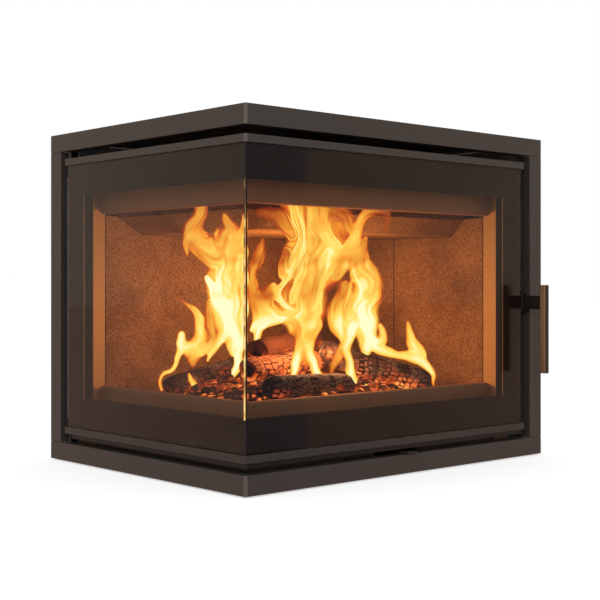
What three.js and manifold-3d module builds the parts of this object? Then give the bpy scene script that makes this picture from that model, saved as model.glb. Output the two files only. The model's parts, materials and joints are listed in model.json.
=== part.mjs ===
// Corner fireplace insert with glass on two sides. Millimetres, +Z up.
// Measured from the outer front corner of the trim frame, at the frame's lower edge:
// x runs right along the front, y runs back along the glazed side, and u is the depth in from either face.
import * as THREE from 'three';
import { mergeVertices } from 'three/addons/utils/BufferGeometryUtils.js';
import Module from 'manifold-3d';

const wasm = await Module();
wasm.setup();

// ---- driving dimensions ----
const seat = 0.3;                // clearance between pieces that touch

const frameWidth = 622;          // trim frame, front
const frameDepth = 486;          // trim frame, side
const frameHeight = 510;
const frameBar = 27.5;           // face height of the top and bottom bars
const hingePostFace = 30;
const latchPostFace = 29.5;
const frameReturn = 22;          // depth of the folded edges
const frameSheet = 2;
const floorGap = 2;              // frame above the floor
const strapSheet = 3;            // angle straps from the frame to the casing
const strapWidth = 30;
const strapLip = 10;
const topStrapY = 267;
const lowStrapX = 187;

const gapTop = 12.2;             // shadow gap between door and frame
const gapBottom = 15;
const gapHinge = 12.4;
const gapLatch = 15;

const doorDepth = 22;
const doorSheet = 2;
const railFace = 10.8;           // visible height of the door's rails
const railFlange = 36;           // rear flange that backs the gasket
const dripLip = 7;               // lip below the bottom rail
const dripSetback = 5;
const stileWidth = 26;
const stileEdge = 9.6;           // from the door's edge to its stile
const glassThick = 4;
const glassTuck = 5;             // glass held behind the rail's face
const glassEdge = 3;             // rail end beyond the glass
const gasketThick = 6;
const gasketInset = 22;          // from the door's top and bottom edge

const hingeX = 8;                // door pivot
const hingeFromRear = 3.6;       // pivot to the door's rear edge
const hingePinR = 3;
const pinClear = 0.3;
const hingePlate = 4;
const hingeLeg = 40;             // length of the bracket's leg on the casing
const hingeNose = 10;            // bracket in front of its pin
const pinEnd = 3;                // pin beyond the rail's sheet

const fireFromRear = 81;          // rear wall of the fire, from the frame's rear edge
const fireFromRight = 82;         // right wall of the fire, from the frame's right edge
const jambSheet = 2;
const hingeJambDepth = 21.7;
const hingeJambWidth = 38;
const latchJambDepth = 25.9;
const liningThick = 28;
const liningSide = 31.7;
const liningGap = 1.5;           // linings beside the jambs
const rearBoard = 151.6;         // width of the right wall's rear board
const boxSheet = 3;
const casingSheet = 2;
const casingBase = 3;
const convection = 31.4;         // gap between firebox and casing, back
const sideConvection = 27;       // gap between firebox and casing, right
const baseBottom = 10;           // underside of the base plate
const floorTop = 66;             // firebox floor
const hearthTop = 95;
const sillTop = 96;
const sillFlange = 17.4;
const headerDrop = 85;           // header's lower edge, below the frame's upper edge
const boxTopDrop = 44;           // underside of the firebox's top plate, below the same edge
const boxTopSheet = 4;
const casingTopBelow = 9.7;      // casing top below the frame's upper edge
const ventLength = 60;           // slots in the casing
const ventWidth = 8;
const ventStep = 18;
const ventLow = 34;
const ventInset = 82;            // from the casing's sides
const ventPitch = 110;
const ventFromFlue = 130;        // outlets lie each side of the flue, out of sight from the door
const outletRows = 3;            // ahead of the flue's middle, and as many behind it

const baffleDrop = 156;          // underside of the baffle, below the frame's upper edge
const baffleThick = 26;
const baffleLeft = 123;          // left edge of the underside
const baffleFront = 122;         // front edge of the underside
const baffleSlopeLeft = 48;
const baffleSlopeFront = 26.5;
const baffleRim = 4;             // upright rim above the two sloping edges
const baffleRimHeight = 9.5;
const ledge = 10;                // baffle's bearing on the linings
const liningDrop = 127.5;        // top of the linings, below the frame's upper edge
const smokePlateDrop = 39;
const smokePlateSheet = 3;
const smokePlateLeft = 150;
const smokePlateRight = 30;      // from the right wall
const smokePlateFront = 120;
const smokePlateRear = 35;       // from the rear wall

const deflectorSetback = 7.4;    // behind the body's front face
const plateSheet = 3;
const deflectorDrop = 62;        // deflector's upper edge, below the frame's upper edge
const deflectorHeight = 64.5;
const guardTop = 118.5;
const rollR = 4;
const plateCorner = 16;          // rounded free corners

const flueFromRight = 210;       // flue's centre from the right and rear walls
const flueFromRear = 105;
const flueR = 75;
const flueWall = 3;
const flueFlange = 20;
const flueRise = 77;
const flueClear = 5;             // casing round the collar

const grateFromRight = 220;      // grate's centre from the right and rear walls
const grateFromRear = 165;
const grateWidth = 180;
const grateDepth = 140;
const grateWall = 8;
const grateBar = 12;             // bar depth
const grateSlots = 8;
const ashLedge = 10;
const ashPanHeight = 46;
const panSheet = 2;

const airX = 310;                // centre of the air lever
const airTravel = 20;
const airBoxFront = 62;
const airBoxDepth = 70;
const airBoxHeight = 11.3;
const airSheet = 3;
const slideWidth = 240;
const slideMargin = 4;
const airSlot = 32;
const airSlotLength = 42;
const airPitch = 76;
const riserLength = 53;          // slots over the valve, in the firebox floor
const riserWidth = 10;
const airLever = 3.5;            // lever thickness
const tabWidth = 25;
const tabReach = 4;              // tab in front of the frame
const tabDepth = 8.8;            // tab behind the frame's face
const tabCorner = 5;
const stemWidth = 12;
const stemLap = 20;              // stem over the slide
const leverClear = 2;            // window round the lever

const spigotR = 40;
const spigotWall = 2;
const spigotZ = 78;
const spigotReach = 30;
const spigotFlange = 10;
const ductWidth = 200;
const ductHeight = 117;
const windowInset = 10;          // air window inside the duct's width
const windowLow = 4;             // air window above the walls' lower edge
const windowDrop = 8;            // air window below the floor

const footInset = 51;
const footPadR = 20;
const footPad = 5;
const padEdge = [3, 2];          // chamfer round the pad, across and up
const studR = 6;
const studRise = 11;
const nutR = 10;

const handleOut = 6.5;           // latch pivot beyond the door's edge
const handlePivotY = 11;
const barY = -35;
const barWide = 10;
const barDeep = 12;
const barBottom = 134;
const barTop = 274;
const barEdge = 1.5;             // chamfer on the bar's edges
const stemBottom = 235.5;
const stemTop = 257;
const stemThick = 6;
const bossR = 6;
const latchPinR = 2.5;
const lugThick = 3;
const hookReach = 27;            // pivot to the hook's back
const hookThick = 6;
const hookNose = 4.2;
const keeperGap = 1.3;
const keeperSheet = 3;
const keeperLeg = 36;
const keeperRise = 8;            // keeper above and below the lever
const keeperClear = 2.5;         // keeper in front of the hook
const leverTail = 2.5;           // lever thickness ahead of the hook
const leverTaper = 8;
const latchPinEnd = 2;           // pin beyond its lugs
const bossClear = 1;

const bedForward = 22;           // bed of embers ahead and to the left of the hearth's middle
const bedLeftward = 28;
const bedHalfX = 192;
const bedHalfY = 136;
const bedRise = 36;
const bedEdge = 4;
const logR = 20;

const roundSteps = 24;

// ---- derived places ----
const doorBottom = frameBar + gapBottom;
const doorTop = frameHeight - frameBar - gapTop;
const doorRear = frameDepth - hingePostFace - gapHinge;
const doorRight = frameWidth - latchPostFace - gapLatch;
const hingeY = doorRear - hingeFromRear;
const gasketU = doorDepth + seat + gasketThick / 2;
const bodyFace = doorDepth + 2 * seat + gasketThick;
const stileRear = doorRear - stileEdge;
const stileRight = doorRight - hingeFromRear;
const handleX = doorRight + handleOut;
const gasketRear = stileRear - stileWidth / 2;
const gasketRight = stileRight - stileWidth / 2;
const openingRear = frameDepth - fireFromRear;
const openingRight = frameWidth - fireFromRight;
const wallRear = openingRear + liningThick + seat;     // front face of the firebox's back plate
const wallRight = openingRight + liningSide + seat;    // left face of the firebox's right plate
const casingLeft = bodyFace - casingSheet - 0.6;
const casingFront = frameReturn + casingSheet;
const casingRear = wallRear + boxSheet + convection;
const casingRight = wallRight + boxSheet + sideConvection;
const baseTop = baseBottom + casingBase;
const casingTop = frameHeight - casingTopBelow - casingSheet;
const wallBottom = baseTop + seat;
const headerBottom = frameHeight - headerDrop;
const boxTop = frameHeight - boxTopDrop;
const baffleBottom = frameHeight - baffleDrop;
const liningTop = frameHeight - liningDrop;
const deflectorTop = frameHeight - deflectorDrop;
const deflectorBottom = deflectorTop - deflectorHeight;
const flueX = openingRight - flueFromRight;
const flueY = openingRear - flueFromRear;
const grateX = openingRight - grateFromRight;
const grateY = openingRear - grateFromRear;
const plateU = bodyFace + deflectorSetback;
const handleFront = barY - barDeep / 2;
const spigotEnd = casingRear + casingSheet + spigotReach;

// ---- materials ----
const paint = (name, color, roughness, metalness) => {
  const material = new THREE.MeshStandardMaterial({ color, roughness, metalness });
  material.name = name;
  return material;
};
const trimPaint = paint('trim paint', 0x46403c, 0.5, 0.3);
const darkPaint = paint('dark paint', 0x1d1b1a, 0.7, 0.2);
const casingSteel = paint('casing steel', 0x6f7274, 0.5, 0.7);
const firePaint = paint('firebox steel', 0x50423c, 0.6, 0.4);
const vermiculite = paint('vermiculite', 0x96552f, 0.95, 0);
const castIron = paint('cast iron', 0x2b2826, 0.7, 0.5);
const clearGlass = paint('glass', 0x9aa3a8, 0.05, 0);
const ropeGrey = paint('rope seal', 0x3a3836, 0.95, 0);
const satinSteel = paint('satin steel', 0x4a4644, 0.35, 0.7);
const charWood = paint('charred wood', 0x4a352c, 0.95, 0);
const emberRed = paint('embers', 0x8c2f12, 0.95, 0);

const fireplace = new THREE.Group();
const construction = new THREE.Group();
construction.position.set(-frameWidth / 2, -(handleFront + spigotEnd) / 2, floorGap);
fireplace.add(construction);

function piece(name, geometry, material) {
  const mesh = new THREE.Mesh(geometry, material);
  mesh.name = name;
  construction.add(mesh);
  return mesh;
}

// ---- shape helpers ----
const rect = (a0, a1, b0, b1) => [[a0, b0], [a1, b0], [a1, b1], [a0, b1]];

function circle(a, b, radius, steps = roundSteps) {
  return Array.from({ length: steps }, (_, i) => {
    const turn = (i + 0.5) / steps * 2 * Math.PI;
    return [a + radius * Math.cos(turn), b + radius * Math.sin(turn)];
  });
}

// A slot with round ends, its long side along the first axis.
function slot(a, b, length, width, steps = 4) {
  const r = width / 2;
  const points = [];
  for (const side of [1, -1]) {
    for (let i = 0; i <= steps; i += 1) {
      const turn = (i / steps - 0.5) * Math.PI;
      points.push([a + side * (length / 2 - r + r * Math.cos(turn)), b + side * r * Math.sin(turn)]);
    }
  }
  return points;
}

function extrude(points, holes, depth) {
  const toVectors = (list) => list.map(([a, b]) => new THREE.Vector2(a, b));
  const shape = new THREE.Shape(toVectors(points));
  shape.holes = holes.map((hole) => new THREE.Path(toVectors(hole)));
  return new THREE.ExtrudeGeometry(shape, { depth, bevelEnabled: false });
}

// Plates: an outline in the two other axes, between two values of the named one.
const alongZ = (points, z0, z1, holes = []) => extrude(points, holes, z1 - z0).translate(0, 0, z0);
const alongY = (points, y0, y1, holes = []) => (
  extrude(points, holes, y1 - y0).rotateX(Math.PI / 2).translate(0, y1, 0)
);
const turnToX = new THREE.Matrix4().makeBasis(
  new THREE.Vector3(0, 1, 0), new THREE.Vector3(0, 0, 1), new THREE.Vector3(1, 0, 0));
const alongX = (points, x0, x1, holes = []) => (
  extrude(points, holes, x1 - x0).applyMatrix4(turnToX).translate(x0, 0, 0)
);
const box = (x0, x1, y0, y1, z0, z1) => alongZ(rect(x0, x1, y0, y1), z0, z1);

function fromFaces(points, faces) {
  const geometry = new THREE.BufferGeometry();
  geometry.setAttribute('position', new THREE.Float32BufferAttribute(points.flat(), 3));
  geometry.setIndex(faces.flat());
  return geometry;
}

// A closed section in (u, z) carried round the corner, from the side face to the front face.
function cornerSweep(section, rearEnd, rightEnd) {
  const flat = section.map(([u, z]) => new THREE.Vector2(u, z));
  const turned = THREE.ShapeUtils.isClockWise(flat) ? flat.reverse() : flat;
  const caps = THREE.ShapeUtils.triangulateShape(turned, []);
  const stations = [
    turned.map(({ x, y }) => [x, rearEnd, y]),
    turned.map(({ x, y }) => [x, x, y]),
    turned.map(({ x, y }) => [rightEnd, x, y]),
  ];
  const count = turned.length;
  const faces = [];
  for (let s = 0; s < 2; s += 1) {
    for (let i = 0; i < count; i += 1) {
      const j = (i + 1) % count;
      const [a, b, c, d] = [s * count + i, s * count + j, (s + 1) * count + j, (s + 1) * count + i];
      faces.push([a, b, d], [b, c, d]);
    }
  }
  for (const [a, b, c] of caps) {
    faces.push([a, c, b], [2 * count + a, 2 * count + b, 2 * count + c]);
  }
  return fromFaces(stations.flat(), faces);
}

// Rings of points joined into one closed skin, with a cap at each end.
function skin(rings, closedLoop = false) {
  const count = rings[0].length;
  const faces = [];
  const spans = closedLoop ? rings.length : rings.length - 1;
  for (let r = 0; r < spans; r += 1) {
    const next = (r + 1) % rings.length;
    for (let i = 0; i < count; i += 1) {
      const j = (i + 1) % count;
      const [a, b, c, d] = [r * count + i, r * count + j, next * count + j, next * count + i];
      faces.push([a, b, c], [a, c, d]);
    }
  }
  const points = rings.flat();
  if (!closedLoop) {
    for (const [ring, turn] of [[0, 1], [rings.length - 1, -1]]) {
      const middle = new THREE.Vector3();
      rings[ring].forEach((p) => middle.add(new THREE.Vector3(...p)));
      points.push(middle.divideScalar(count).toArray());
      for (let i = 0; i < count; i += 1) {
        const ends = [ring * count + i, ring * count + (i + 1) % count];
        faces.push([points.length - 1, ...(turn > 0 ? ends.reverse() : ends)]);
      }
    }
  }
  return fromFaces(points, faces);
}

// ---- joining and cutting ----
function toSolid(geometry) {
  const bare = geometry.clone();
  bare.deleteAttribute('normal');
  bare.deleteAttribute('uv');
  const merged = mergeVertices(bare, 1e-4);
  return new wasm.Manifold(new wasm.Mesh({
    numProp: 3,
    vertProperties: new Float32Array(merged.attributes.position.array),
    triVerts: new Uint32Array(merged.index.array),
  }));
}

function fromSolid(solid) {
  const mesh = solid.getMesh();
  const geometry = new THREE.BufferGeometry();
  geometry.setAttribute('position', new THREE.Float32BufferAttribute(mesh.vertProperties, 3));
  geometry.setIndex(Array.from(mesh.triVerts));
  return geometry;
}

const cut = (geometry, ...tools) => (
  fromSolid(tools.reduce((rest, tool) => rest.subtract(toSolid(tool)), toSolid(geometry)))
);
const join = (geometry, ...others) => (
  fromSolid(others.reduce((sum, other) => sum.add(toSolid(other)), toSolid(geometry)))
);

const roundBar = (a, b, radius, z0, z1, steps = roundSteps) => alongZ(circle(a, b, radius, steps), z0, z1);
const hollowPost = (x0, x1, y0, y1, z0, z1, wall) => (
  alongZ(rect(x0, x1, y0, y1), z0, z1, [rect(x0 + wall, x1 - wall, y0 + wall, y1 - wall)])
);

// ---- trim frame: folded channels, open to the back ----
function channelSection(low, high) {
  const edge = frameReturn;
  const t = frameSheet;
  return [
    [0, low], [edge, low], [edge, low + t], [t, low + t],
    [t, high - t], [edge, high - t], [edge, high], [0, high],
  ];
}

function trimFrame() {
  const pinHole = (z0, z1) => roundBar(hingeX, hingeY, hingePinR + 2 * pinClear, z0, z1);
  const topLow = frameHeight - frameBar;
  const topBar = cornerSweep(channelSection(topLow, frameHeight), frameDepth, frameWidth);
  const bottomBar = cornerSweep(channelSection(0, frameBar), frameDepth, frameWidth);
  piece('trim_top_bar', cut(topBar, pinHole(topLow - 1, topLow + frameSheet + 1)), trimPaint);
  piece('trim_bottom_bar', cut(bottomBar, pinHole(frameBar - frameSheet - 1, frameBar + 1)), trimPaint);

  const low = frameBar + seat;
  const high = topLow - seat;
  const sideSection = channelSection(frameDepth - hingePostFace, frameDepth);
  piece('trim_hinge_post', alongZ(sideSection, low, high), trimPaint);
  const frontSection = channelSection(frameWidth - latchPostFace, frameWidth).map(([u, x]) => [x, u]);
  piece('trim_latch_post', alongZ(frontSection, low, high), trimPaint);
}

// Angle straps that carry the trim frame on the casing: each lies on a plate and has a lip on the frame.
function trimBrackets() {
  const strap = strapSheet;
  const lip = strapLip;
  const back = frameSheet + seat;
  const angle = (z, side, reach) => [
    [back, z], [reach, z], [reach, z + side * strap], [back + strap, z + side * strap],
    [back + strap, z + side * lip], [back, z + side * lip],
  ];
  const upper = angle(casingTop - seat, -1, 2 * bodyFace);
  piece('trim_bracket_top', alongY(upper, topStrapY, topStrapY + strapWidth), darkPaint);
  const lower = angle(baseTop + seat, 1, bodyFace - seat);
  piece('trim_bracket_bottom', alongX(lower, lowStrapX, lowStrapX + strapWidth), darkPaint);
}

// ---- convection casing ----
function casing() {
  const footSpots = feetPlan();
  const studHoles = footSpots.map(([x, y]) => circle(x, y, studR + 2 * pinClear));
  const right = casingRight + casingSheet;
  const rear = casingRear + casingSheet;
  piece('casing_base', alongZ(rect(casingFront, right, casingFront, rear), baseBottom, baseTop, studHoles),
    casingSteel);

  const vent = (a, b, row, step = ventStep) => slot(a, b + row * step, ventLength, ventWidth);
  const high = casingTop - seat;
  const middleY = (casingFront + casingRear) / 2;
  const backLeft = casingLeft + casingSheet + seat;
  const inlets = [];
  for (const x of [backLeft + ventInset, casingRight - ventInset]) {
    for (let row = 0; row < 4; row += 1) inlets.push(vent(x, ventLow, row));
  }
  const ductHole = circle(airX, spigotZ, spigotR + seat * 2);
  piece('casing_back', alongY(rect(backLeft, casingRight - seat, wallBottom, high),
    casingRear, rear, [...inlets, ductHole]), casingSteel);

  const sideSlots = [];
  for (const y of [middleY - ventPitch, middleY, middleY + ventPitch]) {
    for (let row = 0; row < 3; row += 1) sideSlots.push(vent(y, ventLow, row));
  }
  piece('casing_right', alongX(rect(casingFront, rear, wallBottom, high), casingRight, right, sideSlots),
    casingSteel);
  piece('casing_left', alongX(rect(openingRear + hingeJambWidth + seat, rear, wallBottom, high),
    casingLeft, casingLeft + casingSheet), casingSteel);

  const outlets = [];
  for (const x of [flueX - ventFromFlue, flueX + ventFromFlue]) {
    for (let row = -outletRows; row <= outletRows; row += 1) {
      outlets.push(vent(x, flueY, row, 2 * ventStep));
    }
  }
  const collarHole = circle(flueX, flueY, flueR + flueClear, 2 * roundSteps);
  piece('casing_top', alongZ(rect(casingFront, right, casingFront, rear), casingTop, casingTop + casingSheet,
    [...outlets, collarHole]), casingSteel);
}

function feetPlan() {
  const spots = [];
  for (const x of [casingFront + footInset, casingRight - footInset]) {
    for (const y of [casingFront + footInset, casingRear - footInset]) spots.push([x, y]);
  }
  return spots;
}

function levellingFeet() {
  const low = -floorGap;
  const high = baseTop + studRise;
  const profile = [
    [0, low], [footPadR, low], [footPadR, low + footPad - padEdge[1]],
    [footPadR - padEdge[0], low + footPad], [nutR, low + footPad], [nutR, baseBottom - seat],
    [studR, baseBottom - seat], [studR, high], [0, high],
  ];
  const points = profile.map(([r, z]) => new THREE.Vector2(r, z));
  feetPlan().forEach(([x, y], index) => {
    const turned = new THREE.LatheGeometry(points, roundSteps).rotateX(Math.PI / 2);
    piece(`levelling_foot_${index + 1}`, turned.translate(x, y, 0), darkPaint);
  });
}

// ---- firebox shell ----
function fireboxShell() {
  const wallTop = boxTop - seat;
  const inFront = bodyFace + boxSheet + seat;
  const jambRight = wallRight - seat;
  piece('hinge_jamb', hollowPost(bodyFace, bodyFace + hingeJambDepth, openingRear,
    openingRear + hingeJambWidth, wallBottom, wallTop, jambSheet), firePaint);
  piece('latch_jamb', hollowPost(openingRight, jambRight, bodyFace, bodyFace + latchJambDepth,
    wallBottom, wallTop, jambSheet), firePaint);

  const backLeft = bodyFace + hingeJambDepth + seat;
  const windowHalf = ductWidth / 2 - windowInset;
  const windowTop = floorTop - windowDrop;
  const airWindow = rect(airX - windowHalf, airX + windowHalf, wallBottom + windowLow, windowTop);
  piece('firebox_back', alongY(rect(backLeft, wallRight + boxSheet, wallBottom, wallTop),
    wallRear, wallRear + boxSheet, [airWindow]), firePaint);
  piece('firebox_right', alongX(rect(bodyFace + latchJambDepth + seat, wallRear - seat, wallBottom, wallTop),
    wallRight, wallRight + boxSheet), firePaint);

  const floorLow = floorTop - boxSheet;
  const floorOutline = [
    [inFront, inFront], [openingRight - seat, inFront],
    [openingRight - seat, bodyFace + latchJambDepth + seat],
    [wallRight - seat, bodyFace + latchJambDepth + seat], [wallRight - seat, wallRear - seat],
    [backLeft, wallRear - seat], [backLeft, openingRear - seat], [inFront, openingRear - seat],
  ];
  const ashHole = rect(grateX - grateWidth / 2 + ashLedge, grateX + grateWidth / 2 - ashLedge,
    grateY - grateDepth / 2 + ashLedge, grateY + grateDepth / 2 - ashLedge);
  const airHoles = [-1, 0, 1].map((i) => (
    slot(airX + i * airPitch, airBoxFront + airBoxDepth / 2, riserLength, riserWidth)
  ));
  piece('firebox_floor', alongZ(floorOutline, floorLow, floorTop, [ashHole, ...airHoles]), firePaint);

  const fluePath = circle(flueX, flueY, flueR - flueWall, 2 * roundSteps);
  piece('firebox_top', alongZ(rect(bodyFace, wallRight + boxSheet, bodyFace, wallRear + boxSheet),
    boxTop, boxTop + boxTopSheet, [fluePath]), firePaint);

  const t = boxSheet;
  const sillSection = [
    [bodyFace, wallBottom], [bodyFace + t, wallBottom], [bodyFace + t, sillTop - t],
    [bodyFace + sillFlange, sillTop - t], [bodyFace + sillFlange, sillTop], [bodyFace, sillTop],
  ];
  const leverLow = leverZ() - leverClear;
  const leverWindow = box(airX - airTravel - tabWidth, airX + airTravel + tabWidth, bodyFace - 1,
    bodyFace + t + 1, leverLow, leverLow + airLever + 2 * leverClear);
  const sill = cornerSweep(sillSection, openingRear - seat, openingRight - seat);
  piece('sill_rail', cut(sill, leverWindow), firePaint);

  const headerSection = [
    [bodyFace, headerBottom], [plateU - seat, headerBottom], [plateU - seat, headerBottom + t],
    [bodyFace + t, headerBottom + t], [bodyFace + t, wallTop], [bodyFace, wallTop],
  ];
  piece('header_rail', cornerSweep(headerSection, openingRear - seat, openingRight - seat), firePaint);
}

// ---- linings and plates in the fire ----
function linings() {
  const low = floorTop + seat;
  const seam = (bodyFace + hingeJambDepth + wallRight) / 2;
  const left = bodyFace + hingeJambDepth + liningGap;
  const right = wallRight - seat;
  const far = wallRear + boxSheet;
  const shelf = baffleBottom - seat;
  // The baffle lets into the walls on a ledge, cut with the slope of its own open ends.
  const backRebate = alongY([
    [baffleLeft - 1, shelf], [far * 2, shelf], [far * 2, boxTop],
    [baffleLeft - baffleSlopeLeft - 1, boxTop],
    [baffleLeft - baffleSlopeLeft - 1, baffleBottom + baffleThick],
  ], openingRear - 1, openingRear + ledge);
  const sideRebate = alongX([
    [baffleFront - 1, shelf], [far, shelf], [far, boxTop],
    [baffleFront - baffleSlopeFront - 1, boxTop],
    [baffleFront - baffleSlopeFront - 1, baffleBottom + baffleThick],
  ], openingRight - 1, openingRight + ledge);
  const backSlab = (x0, x1) => cut(box(x0, x1, openingRear, wallRear - seat, low, liningTop), backRebate);
  const sideSlab = (y0, y1) => cut(box(openingRight, right, y0, y1, low, liningTop), sideRebate);
  piece('back_lining_left', backSlab(left, seam - seat / 2), vermiculite);
  piece('back_lining_right', backSlab(seam + seat / 2, right), vermiculite);
  const sideFront = bodyFace + latchJambDepth + liningGap;
  const sideSeam = openingRear - rearBoard;
  piece('right_lining_front', sideSlab(sideFront, sideSeam - seat / 2), vermiculite);
  piece('right_lining_rear', sideSlab(sideSeam + seat / 2, openingRear - seat), vermiculite);

  const hearthFront = bodyFace + sillFlange + seat;
  const hearthRight = openingRight - seat;
  const hearthRear = openingRear - seat;
  const [gLeft, gRight] = [grateX - grateWidth / 2 - seat, grateX + grateWidth / 2 + seat];
  const [gFront, gRear] = [grateY - grateDepth / 2 - seat, grateY + grateDepth / 2 + seat];
  const half = seat / 2;
  const leftSlab = [
    [hearthFront, hearthFront], [grateX - half, hearthFront], [grateX - half, gFront], [gLeft, gFront],
    [gLeft, gRear], [grateX - half, gRear], [grateX - half, hearthRear], [hearthFront, hearthRear],
  ];
  const rightSlab = [
    [grateX + half, hearthFront], [hearthRight, hearthFront], [hearthRight, hearthRear],
    [grateX + half, hearthRear], [grateX + half, gRear], [gRight, gRear], [gRight, gFront],
    [grateX + half, gFront],
  ];
  piece('hearth_slab_left', alongZ(leftSlab, low, hearthTop), vermiculite);
  piece('hearth_slab_right', alongZ(rightSlab, low, hearthTop), vermiculite);
}

function baffle() {
  const high = baffleBottom + baffleThick;
  const right = openingRight + ledge - seat;
  const rear = openingRear + ledge - seat;
  const edgeLeft = baffleLeft - baffleSlopeLeft;
  const edgeFront = baffleFront - baffleSlopeFront;
  const under = rect(baffleLeft, right, baffleFront, rear).map(([x, y]) => [x, y, baffleBottom]);
  const [over, rim] = [high, high + baffleRimHeight].map((z) => (
    rect(edgeLeft, right, edgeFront, rear).map(([x, y]) => [x, y, z])));
  const upperFace = box(edgeLeft + baffleRim, right + 1, edgeFront + baffleRim, rear + 1,
    high, high + baffleRimHeight + 1);
  piece('baffle_plate', cut(skin([under, over, rim]), upperFace), vermiculite);

  const left = smokePlateLeft;
  const wide = openingRight - smokePlateRight - left;
  const t = smokePlateSheet;
  const low = boxTop - smokePlateDrop - t;
  const top = boxTop - seat;
  const section = [
    [left, low], [left + wide, low], [left + wide, top], [left + wide - t, top],
    [left + wide - t, low + t], [left + t, low + t], [left + t, top], [left, top],
  ];
  piece('upper_smoke_plate', alongY(section, smokePlateFront, openingRear - smokePlateRear), firePaint);
}

// A plate section whose free edge is rolled inwards; side is 1 for an upper edge and -1 for a lower one.
function rolledSection(fixedZ, freeZ, side) {
  const centre = freeZ - side * rollR;
  const points = [[plateU, fixedZ], [plateU + plateSheet, fixedZ]];
  points.push([plateU + plateSheet, centre - side * rollR]);
  for (let i = 0; i <= 6; i += 1) {
    const turn = i / 6 * Math.PI;
    points.push([plateU + rollR + rollR * Math.cos(turn), centre + side * rollR * Math.sin(turn)]);
  }
  return points;
}

// What rounding takes off a plate's free corner; the plate ends at a, and side is as above.
function cornerOffcut(a, freeZ, side) {
  const r = plateCorner;
  const points = [[a + 1, freeZ - side * r], [a + 1, freeZ + side], [a - r, freeZ + side]];
  for (let i = 0; i <= 6; i += 1) {
    const turn = i / 6 * Math.PI / 2;
    points.push([a - r + r * Math.sin(turn), freeZ - side * r * (1 - Math.cos(turn))]);
  }
  return points;
}

function firePlates() {
  const rearEnd = openingRear - seat;
  const rightEnd = openingRight - seat;
  const plate = (fixedZ, freeZ, side) => {
    const swept = cornerSweep(rolledSection(fixedZ, freeZ, side), rearEnd, rightEnd);
    const [near, far] = [plateU - 1, plateU + 2 * rollR + 1];
    return cut(swept, alongX(cornerOffcut(rearEnd, freeZ, side), near, far),
      alongY(cornerOffcut(rightEnd, freeZ, side), near, far));
  };
  piece('air_wash_deflector', plate(deflectorTop, deflectorBottom, -1), firePaint);
  piece('log_guard', plate(sillTop + seat, guardTop, 1), firePaint);
}

// ---- grate and ash pan ----
function grateAndPan() {
  const low = floorTop + seat;
  const [x0, x1] = [grateX - grateWidth / 2, grateX + grateWidth / 2];
  const [y0, y1] = [grateY - grateDepth / 2, grateY + grateDepth / 2];
  const slots = [];
  const step = (grateWidth - 2 * grateWall) / grateSlots;
  for (let i = 0; i < grateSlots; i += 1) {
    const x = x0 + grateWall + step * (i + 0.5);
    slots.push(slot(grateY, x, grateDepth - 4 * grateWall, step * 0.45).map(([a, b]) => [b, a]));
  }
  const top = alongZ(rect(x0, x1, y0, y1), low, hearthTop, slots);
  const hollow = box(x0 + grateWall, x1 - grateWall, y0 + grateWall, y1 - grateWall, low - 1,
    hearthTop - grateBar);
  piece('grate', cut(top, hollow), castIron);

  const inset = ashLedge + 3;
  const [px0, px1, py0, py1] = [x0 + inset, x1 - inset, y0 + inset, y1 - inset];
  const outer = box(px0, px1, py0, py1, wallBottom, wallBottom + ashPanHeight);
  const inner = box(px0 + panSheet, px1 - panSheet, py0 + panSheet, py1 - panSheet,
    wallBottom + panSheet, wallBottom + ashPanHeight + 1);
  piece('ash_pan', cut(outer, inner), darkPaint);
}

// ---- air supply and its slide ----
const slideZ = () => wallBottom + airBoxHeight + seat;
const leverZ = () => slideZ() + airSheet + seat;

function airSlots(offset) {
  return [-1, 0, 1].map((i) => (
    slot(airBoxFront + airBoxDepth / 2, airX + i * airPitch + offset, airSlotLength, airSlot)
      .map(([y, x]) => [x, y])
  ));
}

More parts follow.
